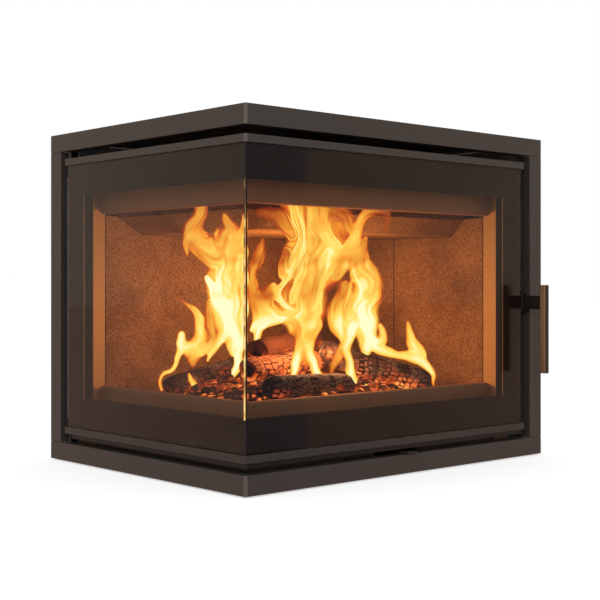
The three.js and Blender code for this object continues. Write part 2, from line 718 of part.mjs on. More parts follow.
function airSupply() {
  const x0 = airX - slideWidth / 2 - slideMargin;
  const x1 = airX + slideWidth / 2 + slideMargin;
  const rear = airBoxFront + airBoxDepth;
  const lid = wallBottom + airBoxHeight;
  const shell = alongZ(rect(x0, x1, airBoxFront, rear), wallBottom, lid, airSlots(0));
  const hollow = box(x0 + airSheet, x1 - airSheet, airBoxFront + airSheet, rear + 1, wallBottom - 1,
    lid - airSheet);
  piece('air_valve_box', cut(shell, hollow), darkPaint);

  const low = slideZ();
  piece('air_slide', alongZ(rect(airX - slideWidth / 2, airX + slideWidth / 2, airBoxFront + slideMargin,
    rear - slideMargin), low, low + airSheet, airSlots(-airTravel)), satinSteel);

  const z = leverZ();
  const tip = -tabReach;
  const tabRear = tabDepth;
  const neck = tabRear + tabCorner;
  const stemRear = airBoxFront + stemLap;
  const half = stemWidth / 2;
  const leverOutline = [
    [airX - tabWidth / 2 + tabCorner, tip], [airX + tabWidth / 2, tip], [airX + tabWidth / 2, tabRear],
    [airX + half, neck], [airX + half, stemRear], [airX - half, stemRear], [airX - half, neck],
    [airX - tabWidth / 2, tabRear],
  ];
  piece('air_lever', alongZ(leverOutline, z, z + airLever), satinSteel);

  const dx0 = airX - ductWidth / 2;
  const dx1 = airX + ductWidth / 2;
  const dy0 = wallRear + boxSheet + seat;
  const dy1 = casingRear - seat;
  const t = casingSheet;
  const duct = box(dx0, dx1, dy0, dy1, wallBottom, wallBottom + ductHeight);
  const inside = box(dx0 + t, dx1 - t, dy0 + t, dy1 - t, wallBottom - 1, wallBottom + ductHeight - t);
  const mouth = box(dx0 + windowInset, dx1 - windowInset, dy0 - 1, dy0 + t + 1,
    wallBottom + windowLow, floorTop - windowDrop);
  const bore = alongY(circle(airX, spigotZ, spigotR - spigotWall), dy1 - t - 1, dy1 + 1);
  piece('air_duct', cut(duct, inside, mouth, bore), casingSteel);

  const flangeAt = casingRear + casingSheet + seat;
  const ring = [
    [spigotR - spigotWall, casingRear], [spigotR, casingRear], [spigotR, flangeAt],
    [spigotR + spigotFlange, flangeAt], [spigotR + spigotFlange, flangeAt + t], [spigotR, flangeAt + t],
    [spigotR, spigotEnd], [spigotR - spigotWall, spigotEnd], [spigotR - spigotWall, casingRear],
  ].map(([r, y]) => new THREE.Vector2(r, y));
  piece('fresh_air_spigot', new THREE.LatheGeometry(ring, 2 * roundSteps).translate(airX, 0, spigotZ),
    casingSteel);
}

function flueCollar() {
  const low = boxTop + boxTopSheet + seat;
  const high = low + flueRise;
  const inner = flueR - flueWall;
  const ring = [
    [inner, low], [flueR + flueFlange, low], [flueR + flueFlange, low + flueWall],
    [flueR, low + flueWall], [flueR, high], [inner, high], [inner, low],
  ].map(([r, z]) => new THREE.Vector2(r, z));
  piece('flue_collar', new THREE.LatheGeometry(ring, 2 * roundSteps).rotateX(Math.PI / 2)
    .translate(flueX, flueY, 0), castIron);
}

// ---- door ----
function doorRails() {
  const t = doorSheet;
  const pinHole = (z) => roundBar(hingeX, hingeY, hingePinR + pinClear, z - t - 1, z + t + 1);
  const back = doorDepth;
  const topSection = [
    [0, doorTop - railFace], [t, doorTop - railFace], [t, doorTop - t], [back - t, doorTop - t],
    [back - t, doorTop - railFlange], [back, doorTop - railFlange], [back, doorTop], [0, doorTop],
  ];
  piece('door_top_rail', cut(cornerSweep(topSection, doorRear, doorRight), pinHole(doorTop)), trimPaint);

  const lip = dripSetback;
  const bottomSection = [
    [0, doorBottom], [lip, doorBottom], [lip, doorBottom - dripLip], [lip + t, doorBottom - dripLip],
    [lip + t, doorBottom], [back, doorBottom], [back, doorBottom + railFlange],
    [back - t, doorBottom + railFlange], [back - t, doorBottom + t], [t, doorBottom + t],
    [t, doorBottom + railFace], [0, doorBottom + railFace],
  ];
  const lipEnd = box(-1, lip + t + 1, hingeY - 3 * hingePinR, doorRear + 1,
    doorBottom - dripLip - 1, doorBottom);
  const bottomRail = cornerSweep(bottomSection, doorRear, doorRight);
  piece('door_bottom_rail', cut(bottomRail, pinHole(doorBottom), lipEnd), trimPaint);
}

function doorStiles() {
  const t = doorSheet;
  const low = doorBottom + t + seat;
  const high = doorTop - t - seat;
  const front = t + glassThick + 2 * seat;
  // The rails' rear flanges lap the stiles, so the stiles step forward there.
  const step = doorDepth - t - seat;
  const lapLow = doorBottom + railFlange + seat;
  const lapHigh = doorTop - railFlange - seat;
  const far = 1000;
  const laps = [[low - 1, lapLow], [lapHigh, high + 1]];
  const sideLaps = laps.map(([z0, z1]) => box(step, far, 0, far, z0, z1));
  const frontLaps = laps.map(([z0, z1]) => box(0, far, step, far, z0, z1));
  const hingeStile = hollowPost(front, doorDepth, stileRear - stileWidth, stileRear, low, high, t);
  const latchStile = hollowPost(stileRight - stileWidth, stileRight, front, doorDepth, low, high, t);
  piece('hinge_stile', cut(hingeStile, ...sideLaps), darkPaint);
  piece('latch_stile', cut(latchStile, ...frontLaps), darkPaint);
}

function doorGlass() {
  const near = doorSheet + seat;
  const far = near + glassThick;
  const low = doorBottom + railFace - glassTuck;
  const high = doorTop - railFace + glassTuck;
  piece('side_glass', box(near, far, far + seat, doorRear - glassEdge, low, high), clearGlass);
  piece('front_glass', box(near, doorRight - glassEdge - 0.5, near, far, low, high), clearGlass);
}

// The rope seal runs round the whole door, turning in three directions, as one loop with mitred corners.
function doorGasket() {
  const high = doorTop - gasketInset;
  const low = doorBottom + gasketInset;
  const corners = [
    [gasketU, gasketRear, high], [gasketU, gasketU, high], [gasketRight, gasketU, high],
    [gasketRight, gasketU, low], [gasketU, gasketU, low], [gasketU, gasketRear, low],
  ].map((p) => new THREE.Vector3(...p));
  const count = corners.length;
  const heading = (i) => corners[(i + 1) % count].clone().sub(corners[i % count]).normalize();
  const sides = 8;
  const r = gasketThick / 2 / Math.cos(Math.PI / sides);
  let first = new THREE.Vector3(1, 0, 0);
  let second = heading(0).cross(first);
  const rings = [];
  for (let i = 1; i <= count; i += 1) {
    const [before, after] = [heading(i - 1), heading(i)];
    const corner = corners[i % count];
    const ring = [];
    for (let k = 0; k < sides; k += 1) {
      const turn = (k + 0.5) / sides * 2 * Math.PI;
      const offset = first.clone().multiplyScalar(Math.cos(turn) * r);
      offset.addScaledVector(second, Math.sin(turn) * r);
      ring.push(corner.clone().add(offset).addScaledVector(before, -offset.dot(after)).toArray());
    }
    rings.push(ring);
    const carry = (v) => v.clone().addScaledVector(before.clone().add(after), -v.dot(after));
    first = carry(first);
    second = carry(second);
  }
  piece('door_gasket', skin(rings, true), ropeGrey);
}

// Angle brackets on the casing, each with its welded pin through the trim and into the door's rail.
function doorHinges() {
  const near = frameSheet + seat;
  const legNear = frameReturn + seat;
  const legFar = casingLeft - seat;
  const y0 = hingeY - hingeNose;
  const y1 = casingRear;
  const legFront = hingeY + 2 * hingePinR;
  const bracket = (z, side) => {
    const plateFar = z + side * hingePlate;
    const legEnd = z - side * hingeLeg;
    const plate = box(near, legFar, y0, y1, Math.min(z, plateFar), Math.max(z, plateFar));
    const leg = box(legNear, legFar, legFront, y1, Math.min(legEnd, plateFar), Math.max(legEnd, plateFar));
    return join(plate, leg);
  };
  const upper = frameHeight - frameBar + frameSheet + seat;
  const lower = frameBar - frameSheet - seat;
  const pinReach = doorSheet + pinEnd;
  const upperPin = roundBar(hingeX, hingeY, hingePinR, doorTop - pinReach, upper + 1);
  const lowerPin = roundBar(hingeX, hingeY, hingePinR, lower - 1, doorBottom + pinReach);
  piece('hinge_bracket_top', join(bracket(upper, 1), upperPin), satinSteel);
  piece('hinge_bracket_bottom', join(bracket(lower, -1), lowerPin), satinSteel);
}

// ---- handle and latch ----
function handleAndLatch() {
  const half = stemThick / 2;
  const b = barEdge;
  const [bx, by] = [barWide / 2, barDeep / 2];
  const barSection = [
    [-bx + b, -by], [bx - b, -by], [bx, -by + b], [bx, by - b], [bx - b, by], [-bx + b, by],
    [-bx, by - b], [-bx, -by + b],
  ].map(([x, y]) => [handleX + x, barY + y]);
  piece('handle_bar', alongZ(barSection, barBottom, barTop), satinSteel);

  const stemFront = barY + barDeep / 2 + seat;
  const hookBack = handlePivotY + hookReach;
  const hookFront = hookBack - hookThick;
  const tail = leverTail - half;
  const lever = [
    [-half, stemFront], [half, stemFront], [half, handlePivotY + bossR], [tail, hookFront - leverTaper],
    [tail, hookFront], [hookNose, hookFront], [hookNose, hookBack], [-half, hookBack],
  ].map(([x, y]) => [handleX + x, y]);
  const boss = roundBar(handleX, handlePivotY, bossR, stemBottom, stemTop);
  const pinLow = stemBottom - lugThick - seat - latchPinEnd;
  const pinHigh = stemTop + lugThick + seat + latchPinEnd;
  const pin = roundBar(handleX, handlePivotY, latchPinR, pinLow, pinHigh);
  piece('handle_lever', join(alongZ(lever, stemBottom, stemTop), boss, pin), satinSteel);

  const webLeft = stileRight + seat;
  const webRight = handleX - bossR - bossClear;
  const lugRight = handleX + bossR - bossClear;
  const [y0, y1] = [handlePivotY - bossR, handlePivotY + bossR];
  const lowLug = stemBottom - lugThick - seat;
  const highLug = stemTop + lugThick + seat;
  const section = [
    [webLeft, lowLug], [lugRight, lowLug], [lugRight, stemBottom - seat], [webRight, stemBottom - seat],
    [webRight, stemTop + seat], [lugRight, stemTop + seat], [lugRight, highLug], [webLeft, highLug],
  ];
  const pinHole = roundBar(handleX, handlePivotY, latchPinR + pinClear, lowLug - 1, highLug + 1);
  piece('latch_bracket', cut(alongY(section, y0, y1), pinHole), darkPaint);

  const edge = handleX + hookNose + keeperGap;
  const far = casingRight - seat;
  const front = hookFront - keeperClear - keeperSheet;
  const keeper = [
    [edge, front], [far, front], [far, front + keeperLeg], [far - keeperSheet, front + keeperLeg],
    [far - keeperSheet, front + keeperSheet], [edge, front + keeperSheet],
  ];
  piece('latch_keeper', alongZ(keeper, stemBottom - keeperRise, stemTop + keeperRise), satinSteel);
}

// ---- fire bed: burnt logs on embers ----
// A split log from end to end: a ring of uneven radius, swept straight, with slightly tapered ends.
function logShape({ from, to, radius, seed, flat = 0.82 }, grow = 0) {
  const start = new THREE.Vector3(...from);
  const end = new THREE.Vector3(...to);
  const along = end.clone().sub(start).normalize();
  const side = new THREE.Vector3(0, 0, 1).cross(along).normalize();
  const over = along.clone().cross(side);
  const sides = 10;
  const stations = [0, 0.06, 0.3, 0.55, 0.8, 0.95, 1];
  const rings = stations.map((t, s) => {
    const tip = t === 0 || t === 1 ? 0.86 : 1;
    const reach = grow * (t === 0 ? -1 : t === 1 ? 1 : 0);
    const middle = start.clone().lerp(end, t).addScaledVector(along, reach);
    return Array.from({ length: sides }, (_, k) => {
      const turn = k / sides * 2 * Math.PI;
      const bark = 1 + 0.1 * Math.sin(2 * turn + seed) + 0.05 * Math.sin(3 * turn + 1.7 * seed + 0.6 * s);
      const r = radius * bark * tip + grow;
      const point = middle.clone().addScaledVector(side, r * Math.cos(turn));
      return point.addScaledVector(over, r * flat * Math.sin(turn)).toArray();
    });
  });
  return skin(rings);
}

// Ends are shares of the fire opening's width and depth, and heights are in rises of the bed of embers.
const onFire = ([a, b, rise]) => [
  bodyFace + a * (openingRight - bodyFace),
  bodyFace + b * (openingRear - bodyFace),
  hearthTop + rise * bedRise,
];
const logs = [
  { name: 'log_front', from: [0.159, 0.147, 0.97], to: [0.49, 0.19, 0.78], radius: 0.9 * logR, seed: 0.4 },
  { name: 'log_right', from: [0.898, 0.248, 0.45], to: [0.58, 0.469, 2.05], radius: 1.1 * logR, seed: 1.9 },
  { name: 'log_left', from: [0.171, 0.79, 0.48], to: [0.406, 0.721, 1.3], radius: 1.1 * logR, seed: 3.1 },
  { name: 'log_middle', from: [0.284, 0.471, 1.37], to: [0.55, 0.471, 1.65], radius: 1.1 * logR, seed: 5.2 },
  { name: 'log_top', from: [0.363, 0.545, 2.12], to: [0.65, 0.633, 2.5], radius: 1.2 * logR, seed: 4.4 },
].map((log) => ({ ...log, from: onFire(log.from), to: onFire(log.to) }));

function fireBed() {
  const bedX = (bodyFace + openingRight) / 2 - bedLeftward;
  const bedY = (bodyFace + openingRear) / 2 - bedForward;
  const columns = 18;
  const rows = 14;
  const low = hearthTop + seat;
  const height = (a, b) => {
    const fall = Math.max(0, 1 - (a * a + b * b) ** 2 * 0.9);
    const ripple = 0.1 * Math.sin(5 * a + 3 * b) + 0.08 * Math.cos(7 * b - 4 * a);
    return bedEdge + bedRise * Math.sqrt(fall) * (0.86 + ripple);
  };
  // Grid lines are drawn in towards a circle, so the mound's edge is round.
  const spot = (i, j) => {
    const [a, b] = [i / columns * 2 - 1, j / rows * 2 - 1];
    return [a * Math.sqrt(1 - b * b / 2), b * Math.sqrt(1 - a * a / 2)];
  };
  const points = [];
  for (const top of [true, false]) {
    for (let j = 0; j <= rows; j += 1) {
      for (let i = 0; i <= columns; i += 1) {
        const [a, b] = spot(i, j);
        points.push([bedX + a * bedHalfX, bedY + b * bedHalfY, top ? low + height(a, b) : low]);
      }
    }
  }
  const sheetSize = (columns + 1) * (rows + 1);
  const at = (i, j, under) => (under ? sheetSize : 0) + j * (columns + 1) + i;
  const faces = [];
  for (let j = 0; j < rows; j += 1) {
    for (let i = 0; i < columns; i += 1) {
      faces.push([at(i, j), at(i + 1, j), at(i + 1, j + 1)], [at(i, j), at(i + 1, j + 1), at(i, j + 1)]);
      faces.push([at(i, j, 1), at(i + 1, j + 1, 1), at(i + 1, j, 1)]);
      faces.push([at(i, j, 1), at(i, j + 1, 1), at(i + 1, j + 1, 1)]);
    }
  }
  const rim = [];
  for (let i = 0; i < columns; i += 1) rim.push([i, 0]);
  for (let j = 0; j < rows; j += 1) rim.push([columns, j]);
  for (let i = columns; i > 0; i -= 1) rim.push([i, rows]);
  for (let j = rows; j > 0; j -= 1) rim.push([0, j]);
  rim.forEach(([i, j], k) => {
    const [m, n] = rim[(k + 1) % rim.length];
    faces.push([at(i, j, 1), at(m, n, 1), at(m, n)], [at(i, j, 1), at(m, n), at(i, j)]);
  });
  const mound = fromFaces(points, faces);

  // Each log beds into what lies under it.
  const hearth = box(0, frameWidth, 0, frameDepth, hearthTop - 2 * logR, low);
  logs.forEach((log, index) => {
    const under = [hearth, ...logs.slice(0, index).map((other) => logShape(other, seat))];
    piece(log.name, cut(logShape(log), ...under), charWood);
  });
  piece('ember_bed', cut(mound, ...logs.map((log) => logShape(log, seat))), emberRed);
}

trimFrame();
trimBrackets();
casing();
levellingFeet();
fireboxShell();
linings();
baffle();
firePlates();
grateAndPan();
airSupply();
flueCollar();
doorRails();
doorStiles();
doorGlass();
doorGasket();
doorHinges();
handleAndLatch();
fireBed();

export default fireplace;
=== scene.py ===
import json
import math
import random

import bmesh
import bpy
import numpy as np
from mathutils import Matrix, Vector, noise


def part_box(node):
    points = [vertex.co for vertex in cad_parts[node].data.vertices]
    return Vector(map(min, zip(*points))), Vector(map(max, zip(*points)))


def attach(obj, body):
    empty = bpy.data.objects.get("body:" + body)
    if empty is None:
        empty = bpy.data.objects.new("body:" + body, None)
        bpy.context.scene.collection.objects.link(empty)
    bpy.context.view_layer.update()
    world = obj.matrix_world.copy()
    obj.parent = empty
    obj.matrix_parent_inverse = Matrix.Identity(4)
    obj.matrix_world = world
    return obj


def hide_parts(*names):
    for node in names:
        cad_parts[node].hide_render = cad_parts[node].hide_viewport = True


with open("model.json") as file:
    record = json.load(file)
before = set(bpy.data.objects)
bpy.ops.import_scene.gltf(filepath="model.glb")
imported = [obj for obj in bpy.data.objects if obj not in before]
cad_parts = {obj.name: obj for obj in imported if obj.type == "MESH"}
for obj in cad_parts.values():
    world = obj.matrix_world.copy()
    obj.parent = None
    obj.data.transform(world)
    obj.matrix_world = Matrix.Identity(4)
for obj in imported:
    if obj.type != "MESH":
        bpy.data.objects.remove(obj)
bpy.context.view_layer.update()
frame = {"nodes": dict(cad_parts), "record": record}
nodes = frame["nodes"]
mm = 0.001

# everything is placed in millimetres from the trim frame's outer corner, at its lower edge
trimCorner = Vector(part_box("trim_bottom_bar")[0])


def spot(x, y, z):
    return trimCorner + Vector((x, y, z)) * mm


# the camera stands where the photo's did
view = {
    "place": (-1002.2, -1222.6, 274.5),
    "turn": 41.895,         # degrees, clockwise from straight at the front
    "lens": 73.476,
    "shift": -0.0255,
}


def addCamera():
    data = bpy.data.cameras.new("photoView")
    data.lens = view["lens"]
    data.sensor_width = 36
    data.sensor_fit = "HORIZONTAL"
    data.shift_y = view["shift"]
    data.clip_start = 0.05
    data.clip_end = 100
    camera = bpy.data.objects.new("photoView", data)
    camera.location = spot(*view["place"])
    camera.rotation_euler = (math.radians(90), 0, -math.radians(view["turn"]))
    bpy.context.scene.collection.objects.link(camera)
    bpy.context.scene.camera = camera
    bpy.context.scene.view_settings.view_transform = "Standard"


addCamera()
print("camera set")


# a bmesh becomes a piece that rides on one body and counts as one slot's material
def finishPiece(name, bm, material, body=None, smooth=False):
    mesh = bpy.data.meshes.new(name)
    bm.to_mesh(mesh)
    bm.free()
    for face in mesh.polygons:
        face.use_smooth = smooth
    mesh.materials.append(material)
    piece = bpy.data.objects.new(name, mesh)
    bpy.context.scene.collection.objects.link(piece)
    if body:
        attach(piece, body)
    return piece


def addBlock(bm, low, high):
    made = bmesh.ops.create_cube(bm, size=1)["verts"]
    low, high = spot(*low), spot(*high)
    bmesh.ops.scale(bm, vec=high - low, verts=made)
    bmesh.ops.translate(bm, vec=(low + high) / 2, verts=made)


# a flat outline pulled out into a plate; corners are in millimetres, and so is the pull
def addPlate(bm, corners, pull):
    face = bm.faces.new([bm.verts.new(spot(*corner)) for corner in corners])
    made = bmesh.ops.extrude_face_region(bm, geom=[face])["geom"]
    moved = [v for v in made if isinstance(v, bmesh.types.BMVert)]
    bmesh.ops.translate(bm, vec=Vector(pull) * mm, verts=moved)
    bmesh.ops.recalc_face_normals(bm, faces=bm.faces[:])


# what each point holds, kept as a second map over the surface so that materials can read it
def keepMap(bm, name, values):
    layer = bm.loops.layers.uv.new(name)
    bm.verts.index_update()
    for face in bm.faces:
        for loop in face.loops:
            loop[layer].uv = values[loop.vert.index]


# short forms for building shader trees
def newMaterial(name):
    material = bpy.data.materials.new(name)
    material.use_nodes = True
    tree = material.node_tree
    tree.nodes.clear()
    return material, tree


def addNode(tree, kind, inputs=None, **settings):
    node = tree.nodes.new("ShaderNode" + kind)
    for key, value in settings.items():
        setattr(node, key, value)
    for key, value in (inputs or {}).items():
        if isinstance(value, bpy.types.NodeSocket):
            tree.links.new(value, node.inputs[key])
        else:
            node.inputs[key].default_value = value
    return node


def mathNode(tree, operation, a, b=None, clamp=False):
    inputs = {0: a} if b is None else {0: a, 1: b}
    return addNode(tree, "Math", inputs, operation=operation, use_clamp=clamp).outputs[0]


def rampNode(tree, factor, stops):
    node = addNode(tree, "ValToRGB", {"Fac": factor})
    elements = node.color_ramp.elements
    while len(elements) < len(stops):
        elements.new(0.5)
    for element, (place, colour) in zip(elements, stops):
        element.position = place
        element.color = (*colour, 1)
    return node.outputs["Color"]


def mixColour(tree, factor, a, b, blend="MIX"):
    node = addNode(tree, "Mix", data_type="RGBA", blend_type=blend)
    for key, value in ((0, factor), (6, a), (7, b)):
        if isinstance(value, bpy.types.NodeSocket):
            tree.links.new(value, node.inputs[key])
        elif key == 0:
            node.inputs[0].default_value = value
        else:
            node.inputs[key].default_value = (*value, 1)
    return node.outputs[2]


def readMap(tree, name):
    split = addNode(tree, "SeparateXYZ", {"Vector": addNode(tree, "UVMap", uv_map=name).outputs["UV"]})
    return split.outputs["X"], split.outputs["Y"]


def objectCoords(tree):
    return addNode(tree, "TexCoord").outputs["Object"]


def newGroup(name, inputs, outputs):
    tree = bpy.data.node_groups.new(name, "ShaderNodeTree")
    for socketName, kind, value in inputs:
        socket = tree.interface.new_socket(name=socketName, in_out="INPUT", socket_type="NodeSocket" + kind)
        if value is not None:
            socket.default_value = value
    for socketName, kind in outputs:
        tree.interface.new_socket(name=socketName, in_out="OUTPUT", socket_type="NodeSocket" + kind)
    return tree, tree.nodes.new("NodeGroupInput"), tree.nodes.new("NodeGroupOutput")


def useGroup(tree, group, **inputs):
    node = tree.nodes.new("ShaderNodeGroup")
    node.node_tree = group
    for key, value in inputs.items():
        if isinstance(value, bpy.types.NodeSocket):
            tree.links.new(value, node.inputs[key])
        else:
            node.inputs[key].default_value = value
    return node


# fine grain in a paint or board, with wide cloudy changes of shade and some dust in patches
def makeGrainGroup():
    tree, given, result = newGroup(
        "grain",
        [("Colour", "Color", (0.2, 0.2, 0.2, 1)), ("GrainSize", "Float", 900.0), ("GrainDepth", "Float", 0.1),
         ("CloudSize", "Float", 6.0), ("CloudDepth", "Float", 0.1)],
        [("Colour", "Color"), ("Height", "Float"), ("Roughness", "Float")])
    place = objectCoords(tree)
    fine = addNode(tree, "TexNoise", {"Vector": place, "Scale": given.outputs["GrainSize"], "Detail": 2.0})
    cloud = addNode(tree, "TexNoise", {"Vector": place, "Scale": given.outputs["CloudSize"], "Detail": 4.0})
    fineShade = mathNode(tree, "MULTIPLY", mathNode(tree, "SUBTRACT", fine.outputs["Fac"], 0.5),
                         given.outputs["GrainDepth"])
    cloudShade = mathNode(tree, "MULTIPLY", mathNode(tree, "SUBTRACT", cloud.outputs["Fac"], 0.5),
                          given.outputs["CloudDepth"])
    shade = mathNode(tree, "ADD", mathNode(tree, "ADD", fineShade, cloudShade), 1.0)
    scale = addNode(tree, "VectorMath", {0: given.outputs["Colour"]}, operation="SCALE")
    tree.links.new(shade, scale.inputs["Scale"])
    tree.links.new(scale.outputs[0], result.inputs["Colour"])
    tree.links.new(fine.outputs["Fac"], result.inputs["Height"])
    tree.links.new(mathNode(tree, "MULTIPLY", cloudShade, 0.5), result.inputs["Roughness"])
    return tree


grainGroup = makeGrainGroup()


def useGrain(tree, look):
    return useGroup(tree, grainGroup, Colour=(*look["colour"], 1), GrainSize=look["grain"],
                    GrainDepth=look["speckle"], CloudSize=look.get("cloud", 6.0),
                    CloudDepth=look.get("cloudDepth", 0.15))


def makePaint(name, look):
    material, tree = newMaterial(name)
    grain = useGrain(tree, look)
    bump = addNode(tree, "Bump", {"Strength": look["bump"], "Distance": 0.2 * mm,
                                  "Height": grain.outputs["Height"]})
    rough = mathNode(tree, "ADD", grain.outputs["Roughness"], look["roughness"], clamp=True)
    shader = addNode(tree, "BsdfPrincipled", {
        "Base Color": grain.outputs["Colour"], "Roughness": rough, "Metallic": look["metallic"],
        "Specular IOR Level": look.get("specular", 0.5), "Normal": bump.outputs["Normal"]})
    addNode(tree, "OutputMaterial", {"Surface": shader.outputs[0]})
    return material


finishes = {
    "trim_paint": {"colour": (0.064, 0.057, 0.052), "grain": 1500.0, "speckle": 0.25, "bump": 0.25,
                   "roughness": 0.42, "metallic": 0.25, "specular": 0.3, "cloudDepth": 0.2},
    "dark_paint": {"colour": (0.007, 0.0065, 0.006), "grain": 1200.0, "speckle": 0.3, "bump": 0.3,
                   "roughness": 0.65, "metallic": 0.1, "specular": 0.15},
    "firebox_steel": {"colour": (0.06, 0.04, 0.031), "grain": 700.0, "speckle": 0.15, "bump": 0.03,
                      "roughness": 0.6, "metallic": 0.2, "specular": 0.25, "cloud": 9.0, "cloudDepth": 0.5},
    "satin_steel": {"colour": (0.024, 0.021, 0.019), "grain": 1800.0, "speckle": 0.15, "bump": 0.1,
                    "roughness": 0.34, "metallic": 0.5, "specular": 0.4},
    "rope_seal": {"colour": (0.05, 0.048, 0.046), "grain": 420.0, "speckle": 0.9, "bump": 1.0,
                  "roughness": 0.95, "metallic": 0.0, "specular": 0.1},
    "cast_iron": {"colour": (0.045, 0.041, 0.038), "grain": 600.0, "speckle": 0.5, "bump": 0.9,
                  "roughness": 0.72, "metallic": 0.3, "specular": 0.3},
}
materials = {name: makePaint(name.replace("_", " "), look) for name, look in finishes.items()}


# pressed board of small golden flakes, with smoke stains in clouds
def makeVermiculite():
    look = {"flake": 300.0, "dark": (0.15, 0.06, 0.017), "light": (0.34, 0.157, 0.045),
            "glint": (0.5, 0.27, 0.1), "stain": 9.0, "smoked": (0.56, 0.52, 0.5)}
    material, tree = newMaterial("vermiculite")
    place = objectCoords(tree)
    flakes = addNode(tree, "TexVoronoi", {"Vector": place, "Scale": look["flake"]})
    specks = addNode(tree, "TexNoise", {"Vector": place, "Scale": look["flake"] * 1.7, "Detail": 3.0})
    stains = addNode(tree, "TexNoise", {"Vector": place, "Scale": look["stain"], "Detail": 7.0,
                                        "Roughness": 0.68})
    mixed = mathNode(tree, "ADD", mathNode(tree, "MULTIPLY", flakes.outputs["Distance"], 0.7),
                     mathNode(tree, "MULTIPLY", specks.outputs["Fac"], 0.8))
    colour = rampNode(tree, mixed, [(0.3, look["dark"]), (0.62, look["light"]), (0.85, look["glint"])])
    dark = rampNode(tree, stains.outputs["Fac"], [(0.36, look["smoked"]), (0.6, (1, 1, 1))])
    colour = mixColour(tree, 1.0, colour, dark, "MULTIPLY")
    bump = addNode(tree, "Bump", {"Strength": 0.12, "Distance": 0.4 * mm, "Height": mixed})
    shader = addNode(tree, "BsdfPrincipled", {"Base Color": colour, "Roughness": 0.95,
                                              "Specular IOR Level": 0.1, "Normal": bump.outputs["Normal"]})
    addNode(tree, "OutputMaterial", {"Surface": shader.outputs[0]})
    return material


# galvanised sheet with its faint spangle
def makeGalvanised():
    look = {"spangle": 90.0, "dull": (0.40, 0.42, 0.44), "bright": (0.50, 0.53, 0.55), "metallic": 0.35,
            "roughness": 0.35, "uneven": 0.25}
    material, tree = newMaterial("casing steel")
    place = objectCoords(tree)
    spangle = addNode(tree, "TexVoronoi", {"Vector": place, "Scale": look["spangle"]})
    grey = rampNode(tree, spangle.outputs["Color"], [(0.2, look["dull"]), (0.8, look["bright"])])
    rough = mathNode(tree, "MULTIPLY_ADD", spangle.outputs["Distance"], look["uneven"])
    rough.node.inputs[2].default_value = look["roughness"]
    shader = addNode(tree, "BsdfPrincipled", {"Base Color": grey, "Roughness": rough,
                                              "Metallic": look["metallic"]})
    addNode(tree, "OutputMaterial", {"Surface": shader.outputs[0]})
    return material


# clear ceramic glass; light on its way to a surface goes straight through
def makeGlass():
    look = {"tint": (0.96, 0.93, 0.90), "index": 1.2, "straight": (0.34, 0.28, 0.23)}
    material, tree = newMaterial("glass")
    shader = addNode(tree, "BsdfPrincipled", {
        "Base Color": (*look["tint"], 1), "Roughness": 0.0, "IOR": look["index"], "Transmission Weight": 1.0})
    clear = addNode(tree, "BsdfTransparent", {"Color": (*look["straight"], 1)})
    path = addNode(tree, "LightPath")
    straight = mathNode(tree, "MAXIMUM", path.outputs["Is Shadow Ray"], path.outputs["Is Diffuse Ray"])
    mixed = addNode(tree, "MixShader", {0: straight, 1: shader.outputs[0], 2: clear.outputs[0]})
    addNode(tree, "OutputMaterial", {"Surface": mixed.outputs[0]})
    return material


# a painted part whose points below an edge, along one axis, take another colour; it carries painted light and
# painted shade onto one face of a part
def makeLightShadeSplit(name, look, axis, edge, other):
    material, tree = newMaterial(name)
    grain = useGrain(tree, look)
    split = addNode(tree, "SeparateXYZ", {"Vector": objectCoords(tree)})
    below = mathNode(tree, "LESS_THAN", split.outputs[axis], edge)
    colour = mixColour(tree, below, grain.outputs["Colour"], other)
    shader = addNode(tree, "BsdfPrincipled", {
        "Base Color": colour, "Roughness": look["roughness"], "Metallic": look["metallic"],
        "Specular IOR Level": look["specular"]})
    addNode(tree, "OutputMaterial", {"Surface": shader.outputs[0]})
    return material


# the folded corner of the trim gets a painted highlight: a lighter strip where the fold catches the light
def paintFoldHighlight(tree):
    fold = {"width": 3.8, "colour": (0.14, 0.128, 0.118)}
    shader = next(node for node in tree.nodes if node.type == "BSDF_PRINCIPLED")
    paint = shader.inputs["Base Color"].links[0].from_socket
    split = addNode(tree, "SeparateXYZ", {"Vector": objectCoords(tree)})
    along = mathNode(tree, "ADD", split.outputs["X"], split.outputs["Y"])
    near = mathNode(tree, "LESS_THAN", along, trimCorner.x + trimCorner.y + fold["width"] * mm)
    # the strip beside the corner takes the lighter colour, a painted highlight
    bright = mixColour(tree, near, paint, fold["colour"])
    tree.links.new(bright, shader.inputs["Base Color"])


paintFoldHighlight(materials["trim_paint"].node_tree)
materials["vermiculite"] = makeVermiculite()
materials["casing_steel"] = makeGalvanised()
materials["glass"] = makeGlass()

# every construction part takes its slot's finish, and folded and cut edges are slightly rounded
edgeRound = {"trim_paint": 0.7, "dark_paint": 0.4, "firebox_steel": 0.5, "satin_steel": 0.5, "cast_iron": 0.8,
             "vermiculite": 0.8}


def dressConstruction():
    for entry in frame["record"]["subparts"]:
        slot = entry["material_slot"]
        if slot not in materials:
            continue
        part = nodes[entry["node"]]
        part.data.materials.clear()
        part.data.materials.append(materials[slot])
        if slot in edgeRound:
            weld = part.modifiers.new("joined", "WELD")
            weld.merge_threshold = 0.01 * mm
            bevel = part.modifiers.new("rounded edge", "BEVEL")
            bevel.width = edgeRound[slot] * mm
            bevel.segments = 2
            bevel.limit_method = "ANGLE"
            bevel.angle_limit = math.radians(40)
            bevel.harden_normals = False
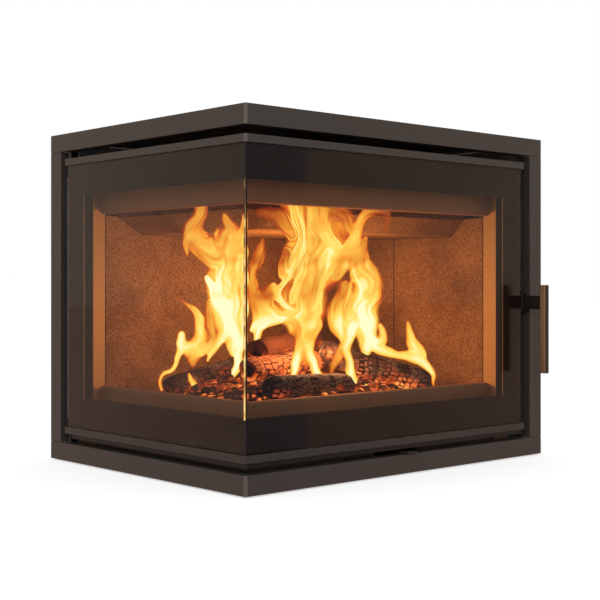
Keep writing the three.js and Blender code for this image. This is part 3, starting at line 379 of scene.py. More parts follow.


# a part whose lowest face along one axis takes another colour, as deep as given: painted firelight on the
# jambs, a painted fire reflection on the handle bar, and painted shade on the bottom rail's drip lip, whose
# paint is darkened as painted shade too
lightAndShadeFaces = {
    # the jambs' inner faces, toward the fire, are painted bright orange as painted firelight
    "hinge_jamb": {"called": "hinge jamb steel with painted firelight", "like": "firebox_steel", "colour": (0.18, 0.095, 0.052),
                   "axis": "Y", "deep": 0.6, "face": (0.72, 0.44, 0.17)},
    "latch_jamb": {"called": "latch jamb steel with painted firelight", "like": "firebox_steel", "colour": (0.18, 0.095, 0.052),
                   "axis": "X", "deep": 0.6, "face": (0.72, 0.44, 0.17)},
    # the bottom rail's paint is darkened as painted shade, and its drip lip below 7.4 mm is painted near
    # black as painted shade
    "door_bottom_rail": {"called": "bottom rail paint with painted shade", "like": "trim_paint",
                         "colour": (0.0512, 0.0456, 0.0416), "axis": "Z", "deep": 7.4,
                         "face": (0.008, 0.007, 0.007)},
    # the handle bar's side toward the fire is painted copper-brown as a painted reflection of the fire
    "handle_bar": {"called": "handle steel with painted reflection", "like": "satin_steel", "colour": (0.024, 0.021, 0.019),
                   "axis": "X", "deep": 0.6, "face": (0.3, 0.19, 0.125)},
}
# the deflector and the log guard are lit copies of the firebox steel: their bright orange colours are painted
# firelight
firelitSteel = {"air_wash_deflector": (0.64, 0.34, 0.18), "log_guard": (0.5, 0.3, 0.18)}


# painted light and shade on the faces: firelight on the jambs' inner faces, the deflector and the log guard,
# a reflection of the fire on the handle bar's side, and shade on the bottom rail and its drip lip
def paintFireAndShade():
    for part, look in lightAndShadeFaces.items():
        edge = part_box(part)[0]["XYZ".index(look["axis"])] + look["deep"] * mm
        paint = dict(finishes[look["like"]], colour=look["colour"])
        nodes[part].data.materials[0] = makeLightShadeSplit(look["called"], paint, look["axis"], edge, look["face"])
    for plate, colour in firelitSteel.items():
        firelit = dict(finishes["firebox_steel"], colour=colour)
        nodes[plate].data.materials[0] = makePaint("tanned " + plate.replace("_", " "), firelit)


dressConstruction()
paintFireAndShade()
print("construction dressed")

# the print on the panes and its gold line, in millimetres from the trim frame's outer corner
pane = {
    "behind": 6.35, "thick": 0.2, "corner": 6.6,
    "low": 48.5, "high": 464.3, "printLow": 99, "printHigh": 412.5,
    "sideEnd": 440.4, "sidePrint": 396.2, "frontEnd": 573.8, "frontPrint": 530.2,
    "line": 1.3, "lineProud": 0.02, "lineDeep": 0.1,
}


def flatMaterial(name, colour, roughness, specular=0.5, metallic=0.0):
    return makePaint(name, {"colour": colour, "grain": 900.0, "speckle": 0.12, "bump": 0.0,
                            "metallic": metallic, "roughness": roughness, "specular": specular,
                            "cloudDepth": 0.1})


# each print is a bracket shape: a band along the top and the bottom, and one at the far end
def printOutline(start, end, inner):
    p = pane
    return [(start, p["low"]), (end, p["low"]), (end, p["high"]), (start, p["high"]),
            (start, p["printHigh"]), (inner, p["printHigh"]), (inner, p["printLow"]), (start, p["printLow"])]


def addPrint():
    p = pane
    enamel = flatMaterial("black brown enamel", (0.024, 0.013, 0.008), 0.6, 0.1)
    side = bmesh.new()
    outline = printOutline(p["corner"], p["sideEnd"], p["sidePrint"])
    addPlate(side, [(p["behind"], a, z) for a, z in outline], (p["thick"], 0, 0))
    finishPiece("side_print", side, enamel, "door")
    front = bmesh.new()
    outline = printOutline(p["behind"] + p["thick"], p["frontEnd"], p["frontPrint"])
    addPlate(front, [(a, p["behind"], z) for a, z in outline], (0, p["thick"], 0))
    finishPiece("front_print", front, enamel, "door")

    gold = flatMaterial("gold line", (0.62, 0.34, 0.13), 0.4, 0.5, 0.4)
    lines = bmesh.new()
    near, far = p["behind"] - p["lineProud"], p["behind"] + p["lineDeep"]
    low, high, sideEnd, frontEnd = p["printLow"], p["printHigh"], p["sidePrint"], p["frontPrint"]
    addBlock(lines, (near, sideEnd - p["line"], low), (far, sideEnd, high))
    addBlock(lines, (frontEnd - p["line"], near, low), (frontEnd, far, high))
    finishPiece("gold_lines", lines, gold, "door")


cornerJoint = {
    "enamelFrom": (2.0, 2.5), "enamelTo": (2.25, 6.1), "enamelInset": 5,
    "shineFrom": (2.0, 2.6), "shineTo": (2.25, 6.0),
    "bands": 38.0, "fadeFrom": 330, "fadeTo": 385, "fade": 0.55,
    "bead": [(6.4, 6.9), (8.0, 6.9), (8.0, 8.2), (6.7, 8.6)], "beadLow": 53.5, "beadHeight": 405.8,
}


# the pane's ground edge carries the light of the fire behind it
def makeEdgeGlow():
    c = cornerJoint
    material, tree = newMaterial("edge glow")
    height = addNode(tree, "SeparateXYZ", {"Vector": objectCoords(tree)}).outputs["Z"]
    bands = addNode(tree, "TexNoise", {"W": height, "Scale": c["bands"], "Detail": 2.0},
                    noise_dimensions="1D")
    fade = addNode(tree, "MapRange", {
        "Value": height, "From Min": spot(0, 0, c["fadeFrom"]).z, "From Max": spot(0, 0, c["fadeTo"]).z,
        "To Min": 0.0, "To Max": c["fade"]}).outputs["Result"]
    lit = mathNode(tree, "SUBTRACT", bands.outputs["Fac"], fade, clamp=True)
    colour = rampNode(tree, lit, [(0.1, (0.09, 0.045, 0.028)), (0.4, (0.45, 0.2, 0.07)),
                                  (0.52, (0.9, 0.5, 0.12)), (0.62, (1.0, 0.72, 0.3))])
    shader = addNode(tree, "BsdfPrincipled", {
        "Base Color": (0, 0, 0, 1), "Roughness": 0.5, "Specular IOR Level": 0.1, "Emission Color": colour,
        "Emission Strength": 1.0})
    addNode(tree, "OutputMaterial", {"Surface": shader.outputs[0]})
    material.cycles.emission_sampling = "NONE"
    return material


# the print goes round the front pane's edge, and a thin dark bead of sealant joins the panes
def addCornerJoint():
    p, c = pane, cornerJoint
    enamel = flatMaterial("edge enamel", (0.018, 0.016, 0.015), 0.5, 0.2)
    edge = bmesh.new()
    bottom, top = p["low"] + c["enamelInset"], p["high"] - c["enamelInset"]
    for low, high in ((bottom, p["printLow"]), (p["printHigh"], top)):
        addBlock(edge, (*c["enamelFrom"], low), (*c["enamelTo"], high))
    finishPiece("glass_edge", edge, enamel, "door")
    shine = bmesh.new()
    addBlock(shine, (*c["shineFrom"], p["printLow"]), (*c["shineTo"], p["printHigh"]))
    finishPiece("glass_edge_glow", shine, makeEdgeGlow(), "door")
    sealant = flatMaterial("corner sealant", (0.045, 0.02, 0.010), 0.7)
    bead = bmesh.new()
    addPlate(bead, [(x, y, c["beadLow"]) for x, y in c["bead"]], (0, 0, c["beadHeight"]))
    finishPiece("corner_sealant", bead, sealant, "door")


seamShadeStrip = {"proud": 0.1, "deep": 1.0, "beside": 0.9, "colour": (0.08, 0.032, 0.015)}


# painted shade in the joint between the right wall's two boards: a thin dark strip in the groove
def addSeamShadeStrip():
    rear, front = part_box("right_lining_rear"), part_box("right_lining_front")
    face, beside = rear[0][0], seamShadeStrip["beside"] * mm
    low = Vector((face - seamShadeStrip["proud"] * mm, front[1][1] - beside, rear[0][2])) - trimCorner
    high = Vector((face + seamShadeStrip["deep"] * mm, rear[0][1] + beside, rear[1][2])) - trimCorner
    bm = bmesh.new()
    addBlock(bm, low / mm, high / mm)
    # the strip's dark colour is painted shade in the groove between the boards
    shadeStrip = flatMaterial("shadeStrip", seamShadeStrip["colour"], 0.9, 0.1)
    finishPiece("lining_seam_shadeStrip", bm, shadeStrip, "body")


addPrint()
addCornerJoint()
print("panes finished")
addSeamShadeStrip()

# the five logs: where each lies, and how far it has burned
fireLogs = {
    "log_front": {"start": (110, 84, 130), "end": (279, 100, 123), "radius": 18, "glow": 0.22, "ash": 0.95,
                  "bark": (0.12, 0.07, 0.055), "smooth": False},
    "log_right": {"start": (488, 122, 111), "end": (325, 205, 169), "radius": 22, "glow": 0.7, "ash": 0.45,
                  "bark": (0.075, 0.04, 0.03), "smooth": False},
    "log_left": {"start": (116, 326, 112), "end": (236, 300, 142), "radius": 22, "glow": 0.4, "ash": 0.3,
                 "bark": (0.1, 0.05, 0.035), "smooth": False},
    "log_middle": {"start": (174, 206, 144), "end": (310, 206, 154), "radius": 22, "glow": 1.1, "ash": 0.0,
                   "bark": (0.3, 0.12, 0.06), "smooth": False},
    "log_top": {"start": (214, 234, 171), "end": (361, 267, 185), "radius": 24, "glow": 0.4, "ash": -0.6,
                "bark": (0.1, 0.032, 0.013), "smooth": True},
}
charring = {
    "cell": 10.0, "stretch": 1.15,                                    # the blocks of bark between cracks
    "crack": 1.8, "slope": 2.2, "sharp": 9.0,                         # how deep, steep and thin cracks are
    "least": 0.5, "usual": 1.1, "uneven": 1.4,                        # and how their thinness changes
    "sway": 0.8, "shift": 0.75, "brick": 0.37,                        # how they wander
    "smoothFrom": -0.25, "smoothEdge": 0.2, "smoothed": 0.85,         # where a log's upper side has no cracks
    "ringStep": 1.2, "around": 128, "capRings": 5, "capInset": 0.17,  # the mesh
    "oval": 0.1, "knots": 0.05, "flatUnder": 0.84, "flatOver": 0.9,   # the section, as shares of the radius
    "tipLength": 8, "taper": 0.16, "raggedEnd": 2.5, "raggedSide": 0.3,                     # the ends
    "heatLeast": 0.1, "heatUnder": 1.5, "heatEnds": 0.4, "heatPatch": 1.7, "patches": 5,    # the glow
}


# charred wood shrinks into blocks: 0 in the cracks between them and 1 on their faces, on the unrolled bark
def crackAt(along, around, seed):
    c = charring
    cell = c["cell"] * mm

    def wander(scale, shift):
        return noise.noise(Vector((along / cell * scale, around / cell * scale, seed + shift)))

    a = along / (cell * c["stretch"]) + c["sway"] * wander(0.5, 0)
    ring = math.floor(a)
    b = around / cell + c["brick"] * ring + c["shift"] * wander(0.45, 5)
    gapA, gapB = abs(a - round(a)) * c["stretch"], abs(b - round(b))
    uneven = max(c["least"], c["usual"] + c["uneven"] * wander(0.5, 11))
    return min(1.0, min(gapA, gapB * (0.9 + 0.6 * math.sin(ring * 1.9))) * c["sharp"] * uneven)


# a straight round log along Z, with rings close enough to carry the cracks
def makeRoundwood(length, radius):
    steps = int(length / (charring["ringStep"] * mm))
    bm = bmesh.new()
    bmesh.ops.create_circle(bm, segments=charring["around"], radius=radius, cap_ends=False)
    edges = bm.edges[:]
    for _ in range(steps):
        made = bmesh.ops.extrude_edge_only(bm, edges=edges)["geom"]
        moved = [v for v in made if isinstance(v, bmesh.types.BMVert)]
        front = set(moved)
        edges = [e for e in made if isinstance(e, bmesh.types.BMEdge) and front.issuperset(e.verts)]
        bmesh.ops.translate(bm, vec=(0, 0, length / steps), verts=moved)
    bmesh.ops.holes_fill(bm, edges=[e for e in bm.edges if e.is_boundary])
    caps = [f for f in bm.faces if len(f.verts) > 4]
    for _ in range(charring["capRings"]):
        bmesh.ops.inset_region(bm, faces=caps, thickness=radius * charring["capInset"], use_even_offset=True)
    return bm


# how hot the bark is: most on the underside, and in patches along the log
def heatAt(turn, share, outside, seed):
    c = charring
    under = 0.5 - 0.5 * math.sin(turn) if outside else c["heatEnds"]
    patch = noise.noise(Vector((share * c["patches"], turn, seed + 9))) * 0.5 + 0.5
    return (c["heatLeast"] + under ** 1.6 * c["heatUnder"]) * (c["heatPatch"] * patch) ** 2


def addLog(name, look, material):
    c = charring
    start, end = spot(*look["start"]), spot(*look["end"])
    along = (end - start).normalized()
    length = (end - start).length
    radius = look["radius"] * mm
    seed = sum(look["start"]) * 0.013
    side = Vector((0, 0, 1)).cross(along).normalized()
    over = along.cross(side)
    turned = Matrix((side, over, along)).transposed().to_4x4()
    bm = makeRoundwood(length, radius)
    burn = []
    for v in bm.verts:
        turn = math.atan2(v.co.y, v.co.x)
        share = v.co.z / length
        reach = math.hypot(v.co.x, v.co.y)
        knots = c["knots"] * math.sin(3 * turn + 1.7 * seed + 3 * share)
        bark = 1 + c["oval"] * math.sin(2 * turn + seed) + knots
        cracked = crackAt(v.co.z + seed, turn * radius if reach > radius * 0.9 else reach * 3, seed)
        if look["smooth"] and math.sin(turn) > c["smoothFrom"] + c["smoothEdge"] * noise.noise(v.co * 50):
            cracked = max(cracked, c["smoothed"])
        flat = c["flatUnder"] if v.co.y < 0 else c["flatOver"]
        swell = bark - (1 - min(1, cracked * c["slope"])) * c["crack"] * mm / radius
        swell += c["knots"] * noise.noise(Vector((v.co.z * 60, turn * 2, seed)))
        tip = 1 - c["taper"] * max(0, 1 - min(share, 1 - share) * length / (c["tipLength"] * mm))
        v.co.x *= swell * tip
        v.co.y *= swell * tip * flat
        ragged = 1 if reach < radius * 0.95 else c["raggedSide"]
        v.co.z += c["raggedEnd"] * mm * noise.noise(v.co * 90) * ragged
        hot = look["glow"] * heatAt(turn, share, reach > radius * 0.5, seed)
        burn.append((cracked, min(1.0, max(0.0, hot))))
    keepMap(bm, "burn", burn)
    bm.transform(Matrix.Translation(start) @ turned)
    bmesh.ops.recalc_face_normals(bm, faces=bm.faces[:])
    piece = finishPiece(name + "_bark", bm, material, "body", smooth=True)
    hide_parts(name)


# charred bark: dark cracks between blocks with ash on them, which glow where the heat is high
def makeChar(name, ash, bark):
    look = {"char": (0.028, 0.014, 0.01), "ash": (0.44, 0.34, 0.31), "grain": 420.0, "patch": 34.0}
    material, tree = newMaterial(name)
    place = objectCoords(tree)
    crack, heat = readMap(tree, "burn")
    grain = addNode(tree, "TexNoise", {"Vector": place, "Scale": look["grain"], "Detail": 4.0,
                                       "Roughness": 0.65})
    patch = addNode(tree, "TexNoise", {"Vector": place, "Scale": look["patch"], "Detail": 2.0})
    block = mathNode(tree, "POWER", crack, 1.8)
    ridge = mathNode(tree, "MULTIPLY", block, mathNode(tree, "ADD", grain.outputs["Fac"], 0.5), clamp=True)
    colour = rampNode(tree, ridge, [(0.2, look["char"]), (0.8, bark)])
    spread = mathNode(tree, "ADD", mathNode(tree, "MULTIPLY", patch.outputs["Fac"], 2.4), ash - 1.45)
    ashy = mathNode(tree, "MULTIPLY", spread, ridge, clamp=True)
    colour = mixColour(tree, ashy, colour, look["ash"])
    ember = mathNode(tree, "MULTIPLY", heat, mathNode(tree, "ADD", patch.outputs["Fac"], 0.5))
    faces = mathNode(tree, "ADD", mathNode(tree, "MULTIPLY", ridge, 0.95), 0.05)
    glow = mathNode(tree, "MULTIPLY", ember, faces, clamp=True)
    glowColour = rampNode(tree, glow, [(0.12, (0, 0, 0)), (0.35, (0.3, 0.03, 0.003)),
                                       (0.6, (0.85, 0.17, 0.025)), (0.95, (1.0, 0.42, 0.1))])
    bump = addNode(tree, "Bump", {"Strength": 0.5, "Distance": 0.8 * mm, "Height": grain.outputs["Fac"]})
    shader = addNode(tree, "BsdfPrincipled", {
        "Base Color": colour, "Roughness": 0.9, "Specular IOR Level": 0.15, "Emission Color": glowColour,
        "Emission Strength": 1.0, "Normal": bump.outputs["Normal"]})
    addNode(tree, "OutputMaterial", {"Surface": shader.outputs[0]})
    return material


def addLogs():
    for name, look in fireLogs.items():
        addLog(name, look, makeChar(name.replace("_", " ") + " char", look["ash"], look["bark"]))


emberBed = {"centre": (256.3, 194.8), "half": (190, 134), "base": 95.6, "rise": 36, "edge": 4,
            "across": 180, "deep": 130,                                              # squares of its grid
            "cell": 13, "crack": 3.4, "lump": 4, "lumpSize": 16, "sink": 3, "hotSize": 40}


def emberHeight(a, b):
    fall = max(0.0, 1 - (a * a + b * b) ** 2 * 0.9)
    ripple = 0.1 * math.sin(5 * a + 3 * b) + 0.08 * math.cos(7 * b - 4 * a)
    return emberBed["edge"] + emberBed["rise"] * math.sqrt(fall) * (0.86 + ripple)


def addEmberBed(material):
    bm = bmesh.new()
    bmesh.ops.create_grid(bm, x_segments=emberBed["across"], y_segments=emberBed["deep"], size=1)
    burn = []
    bed, (cx, cy), (hx, hy) = emberBed, emberBed["centre"], emberBed["half"]
    for v in bm.verts:
        a, b = v.co.x, v.co.y
        a, b = a * math.sqrt(1 - b * b / 2), b * math.sqrt(1 - a * a / 2)
        x, y = cx + a * hx, cy + b * hy
        distances, _ = noise.voronoi(Vector((x / bed["cell"], y / bed["cell"], 2.0)))
        gap = min(1.0, (distances[1] - distances[0]) * 2.0)
        rim = min(1.0, (1 - math.hypot(a, b)) * 9)
        lump = noise.noise(Vector((x / bed["lumpSize"], y / bed["lumpSize"], 0.5))) * bed["lump"]
        drop = (1 - gap) * bed["crack"] * rim
        v.co = spot(x, y, bed["base"] + emberHeight(a, b) - drop + (lump - bed["sink"]) * rim)
        patch = noise.noise(Vector((x / bed["hotSize"], y / bed["hotSize"], 7)))
        hot = 1.0 - math.hypot(a, b) * 0.35 + 0.6 * patch
        burn.append((gap, max(0.0, min(1.0, hot))))
    made = bmesh.ops.extrude_face_region(bm, geom=bm.faces[:])["geom"]
    base = spot(0, 0, emberBed["base"]).z
    for v in made:
        if isinstance(v, bmesh.types.BMVert):
            v.co.z = base
            burn.append((1.0, 0.0))
    keepMap(bm, "burn", burn)
    bmesh.ops.recalc_face_normals(bm, faces=bm.faces[:])
    piece = finishPiece("embers", bm, material, "body", smooth=True)
    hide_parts("ember_bed")


charcoal = {"seed": 41, "lumps": 170, "spread": 0.8, "size": (3.2, 8), "heat": (0.2, 1.1), "rough": 0.35,
            "long": 1.25, "wide": (0.7, 1), "high": (0.5, 0.8), "turned": (0, 3.1), "sunk": 1}


# loose lumps of charcoal on the bed
def addCharcoal(material):
    c = charcoal
    chance = random.Random(c["seed"])
    bm = bmesh.new()
    burn = []
    (cx, cy), (hx, hy) = emberBed["centre"], emberBed["half"]
    for _ in range(c["lumps"]):
        turn, reach = chance.uniform(0, 2 * math.pi), math.sqrt(chance.uniform(0, c["spread"]))
        a, b = reach * math.cos(turn), reach * math.sin(turn)
        size = chance.uniform(*c["size"]) * mm
        lump = bmesh.ops.create_icosphere(bm, subdivisions=2, radius=size)["verts"]
        hot = chance.uniform(*c["heat"])
        for v in lump:
            v.co *= 1 + c["rough"] * noise.noise(v.co * 160 + Vector((turn, reach, 3)))
            burn.append((0.55 + 0.45 * noise.noise(v.co * 260), hot))
        wide, high = chance.uniform(*c["wide"]), chance.uniform(*c["high"])
        bmesh.ops.scale(bm, vec=(c["long"], wide, high), verts=lump)
        turned = Matrix.Rotation(chance.uniform(*c["turned"]), 3, "Z")
        bmesh.ops.rotate(bm, cent=(0, 0, 0), matrix=turned, verts=lump)
        place = spot(cx + a * hx, cy + b * hy, emberBed["base"] + emberHeight(a, b) - c["sunk"])
        bmesh.ops.translate(bm, vec=place, verts=lump)
    keepMap(bm, "burn", burn)
    finishPiece("charcoal", bm, material, "body", smooth=True)


addLogs()
addEmberBed(makeChar("ember bed char", 0.2, (0.16, 0.07, 0.045)))
addCharcoal(makeChar("charcoal char", 0.3, (0.15, 0.07, 0.045)))
print("logs and embers built")

# The flames are a soft curtain that faces the photo's camera. Each flame in it is given by how far it stands
# behind the fire's middle, and by its spine in millimetres: across from the picture's middle, up from the
# hearth line, half width, and then its heat. The draught draws the curtain forward, past the baffle's open
# edges.
flamePlane = {
    "distance": 1959.0, "hearthLine": 96.2, "leanFrom": 60, "leanTo": 240, "clear": 9.0,
    "step": 2.2, "fromAcross": -232, "toAcross": 226, "fromUp": -6, "toUp": 322, "least": 0.02,
    "sway": 5.0, "swayWide": 30, "swayHigh": 26, "flowSway": 4,
    "thinnest": 0.8, "blend": 3, "coreBlend": 0.2, "bulge": 0.5, "leanDepth": 0.1,
}
flames = {
    "left_column": (0, [
        (-106, 70, 8, 0.9), (-106, 88, 16, 0.9), (-108, 104, 23, 0.95), (-112, 122, 27, 1),
        (-116, 140, 29, 1), (-118, 160, 31, 0.95), (-119, 180, 36, 0.85), (-114, 200, 31, 0.75),
        (-112, 220, 29, 0.65), (-114, 238, 33, 0.58), (-112, 256, 22, 0.5), (-110, 268, 13, 0.42),
        (-116, 280, 8, 0.35), (-120, 290, 3, 0.3)]),
    "left_wisp": (-10, [
        (-138, 222, 20, 0.55), (-154, 240, 22, 0.5), (-168, 256, 22, 0.45), (-168, 272, 17, 0.4),
        (-160, 288, 14, 0.35), (-157, 306, 13, 0.3)]),
    "left_hook": (-12, [
        (-170, 254, 16, 0.42), (-178, 242, 10, 0.35), (-181, 226, 3, 0.3)]),
    "left_ear": (-10, [
        (-94, 236, 12, 0.55), (-93, 258, 9, 0.5), (-90, 274, 5, 0.45), (-88, 292, 3, 0.4)]),
    "left_flank": (-20, [
        (-143, 152, 4, 0.2), (-143, 132, 9, 0.25), (-140, 112, 10, 0.3), (-139, 92, 10, 0.35),
        (-142, 78, 8, 0.4)]),
    "left_core": (-30, [
        (-148, 190, 4, 0.9), (-140, 175, 7, 1.1), (-128, 158, 12, 1.2), (-118, 140, 15, 1.2),
        (-110, 118, 12, 1.1), (-102, 96, 9, 1.1), (-98, 70, 8, 1.1), (-101, 48, 8, 1.1), (-108, 32, 7, 1),
        (-120, 19, 3, 0.9)]),
    "left_edge": (-34, [
        (-88, 285, 2, 0.6), (-88, 240, 4, 0.75), (-88, 190, 5, 0.8), (-88, 150, 6, 0.95),
        (-90, 110, 6, 0.9), (-91, 70, 4, 0.8), (-91, 35, 3, 0.8)]),
    "far_left": (-40, [
        (-192, 157, 1, 0.2), (-181, 147, 3, 0.3), (-168, 138, 6, 0.5), (-160, 124, 9, 0.65),
        (-158, 108, 9, 0.7), (-159, 92, 12, 0.7), (-164, 78, 16, 0.7), (-168, 64, 14, 0.5),
        (-170, 52, 7, 0.3)]),
    "far_left_lobe": (-50, [
        (-189, 97, 8, 0.9), (-188, 85, 11, 0.95), (-180, 76, 13, 0.85), (-166, 74, 13, 0.75),
        (-150, 76, 11, 0.7), (-137, 85, 8, 0.75), (-124, 98, 8, 0.85), (-116, 110, 8, 0.9)]),
    "far_left_curl": (-70, [
        (-191, 84, 9, 0.9), (-193, 66, 6, 0.8), (-196, 52, 4, 0.75), (-204, 41, 4, 0.75),
        (-216, 36, 4, 0.7), (-222, 24, 3, 0.7), (-218, 10, 2, 0.6)]),
    "left_low": (-60, [
        (-147, 57, 2, 0.7), (-140, 72, 6, 0.8), (-128, 89, 8, 0.85), (-116, 104, 9, 0.9)]),
    "left_foot": (-96, [
        (-158, 6, 3, 0.9), (-166, 18, 6, 0.95), (-175, 29, 4, 0.8), (-179, 36, 1, 0.7)]),
    "corner_tongue": (-30, [
        (-59, 252, 2, 0.15), (-62, 240, 7, 0.25), (-66, 226, 12, 0.3), (-70, 211, 10, 0.32),
        (-76, 196, 7, 0.4), (-76, 178, 9, 0.4), (-72, 160, 13, 0.38), (-66, 142, 17, 0.5),
        (-62, 126, 17, 0.8), (-68, 104, 8, 0.9), (-73, 84, 5, 0.8), (-75, 56, 3, 0.7)]),
    "corner_fill": (-24, [
        (-42, 172, 10, 0.4), (-52, 160, 18, 0.25), (-54, 146, 20, 0.45), (-44, 132, 16, 0.75)]),
    "saddle": (-34, [
        (-76, 106, 5, 0.8), (-66, 114, 9, 0.95), (-50, 121, 11, 1), (-32, 126, 11, 0.9),
        (-14, 130, 11, 0.95), (4, 130, 12, 0.8), (20, 126, 12, 0.6)]),
    "saddle_rise": (-28, [
        (-40, 178, 4, 0.7), (-36, 162, 7, 0.9), (-28, 148, 7, 1.05), (-14, 138, 7, 0.9)]),
    "middle_body": (10, [
        (8, 100, 22, 0.55), (6, 116, 32, 0.6), (4, 134, 42, 0.65), (4, 152, 45, 0.55), (6, 172, 43, 0.5),
        (9, 192, 46, 0.52), (20, 212, 56, 0.56), (30, 232, 54, 0.6), (32, 252, 56, 0.55),
        (30, 272, 58, 0.48), (22, 290, 54, 0.42), (18, 312, 54, 0.36)]),
    "middle_shoulder": (4, [
        (-20, 228, 12, 0.2), (-26, 212, 10, 0.35), (-22, 196, 14, 0.5)]),
    "top_left": (20, [
        (-14, 256, 9, 0.4), (-24, 272, 12, 0.25), (-38, 288, 14, 0.05), (-62, 293, 10, -0.1)]),
    "top_right": (20, [
        (52, 296, 20, 0.1), (70, 286, 14, 0.1), (78, 270, 12, 0.35)]),
    "right_arm": (-6, [
        (58, 196, 12, 0.5), (72, 220, 17, 0.55), (82, 244, 14, 0.6), (91, 264, 10, 0.6),
        (101, 284, 11, 0.45), (116, 297, 11, 0.2), (133, 296, 9, 0), (138, 280, 5, -0.1),
        (134, 262, 2, -0.1)]),
    "streak_left": (-12, [
        (-14, 306, 8, 0.9), (-8, 285, 8, 0.95), (0, 265, 6, 0.85), (1, 245, 6, 0.8), (-5, 226, 7, 0.85),
        (-13, 208, 7, 0.75), (-22, 190, 5, 0.7), (-31, 172, 5, 0.75), (-37, 156, 6, 0.9)]),
    "streak_middle": (-14, [
        (38, 296, 9, 0.7), (37, 275, 10, 0.75), (44, 254, 12, 0.9), (54, 236, 13, 0.95),
        (50, 216, 11, 0.85), (41, 196, 7, 0.9), (34, 175, 6, 0.95), (30, 154, 7, 1), (25, 132, 8, 1),
        (18, 112, 9, 0.9)]),
    "streak_inner": (-10, [
        (14, 300, 5, 0.6), (16, 270, 6, 0.65), (10, 230, 6, 0.75), (4, 200, 6, 0.7), (-8, 172, 5, 0.65),
        (-14, 150, 5, 0.8)]),
    "strand_left": (-96, [
        (-15, 31, 3, 1), (-10, 45, 8, 1.1), (-5, 62, 9, 1), (1, 82, 10, 0.75), (6, 104, 11, 0.6)]),
    "strand_right": (-96, [
        (32, 33, 5, 0.9), (24, 42, 8, 1.1), (18, 58, 10, 1), (13, 76, 11, 0.95), (15, 96, 13, 0.85),
        (22, 116, 13, 0.9)]),
    "strand_between": (-92, [
        (8, 44, 3, 0.15), (6, 60, 7, 0.25), (6, 80, 10, 0.35), (9, 100, 12, 0.45)]),
    "small_leaf": (-90, [
        (48, 33, 3, 0.15), (53, 47, 7, 0.3), (59, 62, 9, 0.4), (66, 80, 7, 0.5), (71, 96, 7, 0.7)]),
    "front_strand": (-88, [
        (118, 12, 2, 0.8), (102, 15, 6, 1.1), (89, 20, 8, 1.1), (81, 35, 9, 1.1), (77, 55, 8, 0.9),
        (75, 75, 8, 0.85), (75, 93, 10, 0.95), (80, 112, 14, 1)]),
    "front_foot": (-90, [
        (84, 5, 3, 0.8), (84, 20, 5, 1)]),
    "right_bridge": (-12, [
        (72, 176, 12, 0.35), (68, 158, 17, 0.4), (62, 140, 20, 0.5), (60, 122, 20, 0.85),
        (64, 104, 14, 0.8), (66, 92, 6, 0.7)]),
    "right_body": (-4, [
        (106, 72, 9, 0.9), (106, 88, 18, 1), (103, 104, 22, 1), (100, 120, 26, 1), (99, 136, 30, 0.95),
        (102, 150, 29, 0.88), (107, 165, 30, 0.75), (108, 180, 29, 0.68), (104, 194, 25, 0.6),
        (95, 210, 20, 0.55), (94, 226, 16, 0.45), (98, 240, 11, 0.35), (104, 254, 3, 0.25)]),
    "right_core": (-30, [
        (106, 78, 7, 1.3), (108, 96, 11, 1.3), (108, 114, 12, 1.3), (106, 132, 10, 1.15),
        (102, 150, 7, 1), (98, 170, 5, 0.9), (92, 196, 4, 0.8)]),
    "right_bulb": (-16, [
        (126, 113, 4, 0.5), (131, 101, 7, 0.6), (129, 88, 9, 0.75), (119, 82, 9, 0.95)]),
    "right_branch": (-30, [
        (112, 88, 12, 1.1), (126, 76, 10, 0.95), (142, 70, 9, 0.85), (156, 66, 7, 0.75),
        (169, 65, 9, 0.8), (181, 63, 12, 0.9), (193, 57, 9, 0.95), (204, 47, 7, 0.95), (211, 34, 4, 0.9),
        (213, 18, 2, 0.6)]),
    "far_right": (-10, [
        (169, 119, 2, 0.35), (173, 106, 6, 0.5), (179, 92, 9, 0.7), (184, 77, 12, 0.85),
        (190, 64, 12, 0.9)]),
}


# points between the spine's own, on a smooth curve through them
def smoothSpine(points, steps=12):
    ends = [points[0], *points, points[-1]]
    smooth = []
    for i in range(1, len(ends) - 2):
        before, here, after, beyond = (np.array(p, float) for p in ends[i - 1:i + 3])
        for k in range(steps):
            t = k / steps
            bend = 2 * before - 5 * here + 4 * after - beyond
            twist = 3 * here - before - 3 * after + beyond
            smooth.append(0.5 * (2 * here + (after - before) * t + bend * t * t + twist * t ** 3))
    smooth.append(np.array(points[-1], float))
    return np.array(smooth)


def leanShare(up):
    share = (up - flamePlane["leanFrom"]) / (flamePlane["leanTo"] - flamePlane["leanFrom"])
    share = min(1.0, max(0.0, share))
    return share * share * (3 - 2 * share)


# where a point of the picture lies in the room, at its own depth
def flamePlace(across, up, depth):
    camera = spot(*view["place"])
    turn = math.radians(view["turn"])
    ahead = Vector((math.sin(turn), math.cos(turn), 0))
    right = Vector((math.cos(turn), -math.sin(turn), 0))
    edge = Vector(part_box("baffle_plate")[0]) - Vector((1, 1, 0)) * flamePlane["clear"] * mm
    line = ahead + right * across / flamePlane["distance"]
    passing = max((edge.x - camera.x) / line.x, (edge.y - camera.y) / line.y) / mm
    passing += depth * flamePlane["leanDepth"]
    lean = leanShare(up)
    straight = flamePlane["distance"] + depth
    distance = straight * (1 - lean) + min(passing, straight) * lean
    scale = distance / flamePlane["distance"]
    place = camera + ahead * distance * mm + right * across * scale * mm
    place.z = camera.z + (flamePlane["hearthLine"] - view["place"][2] + up) * scale * mm
    return place


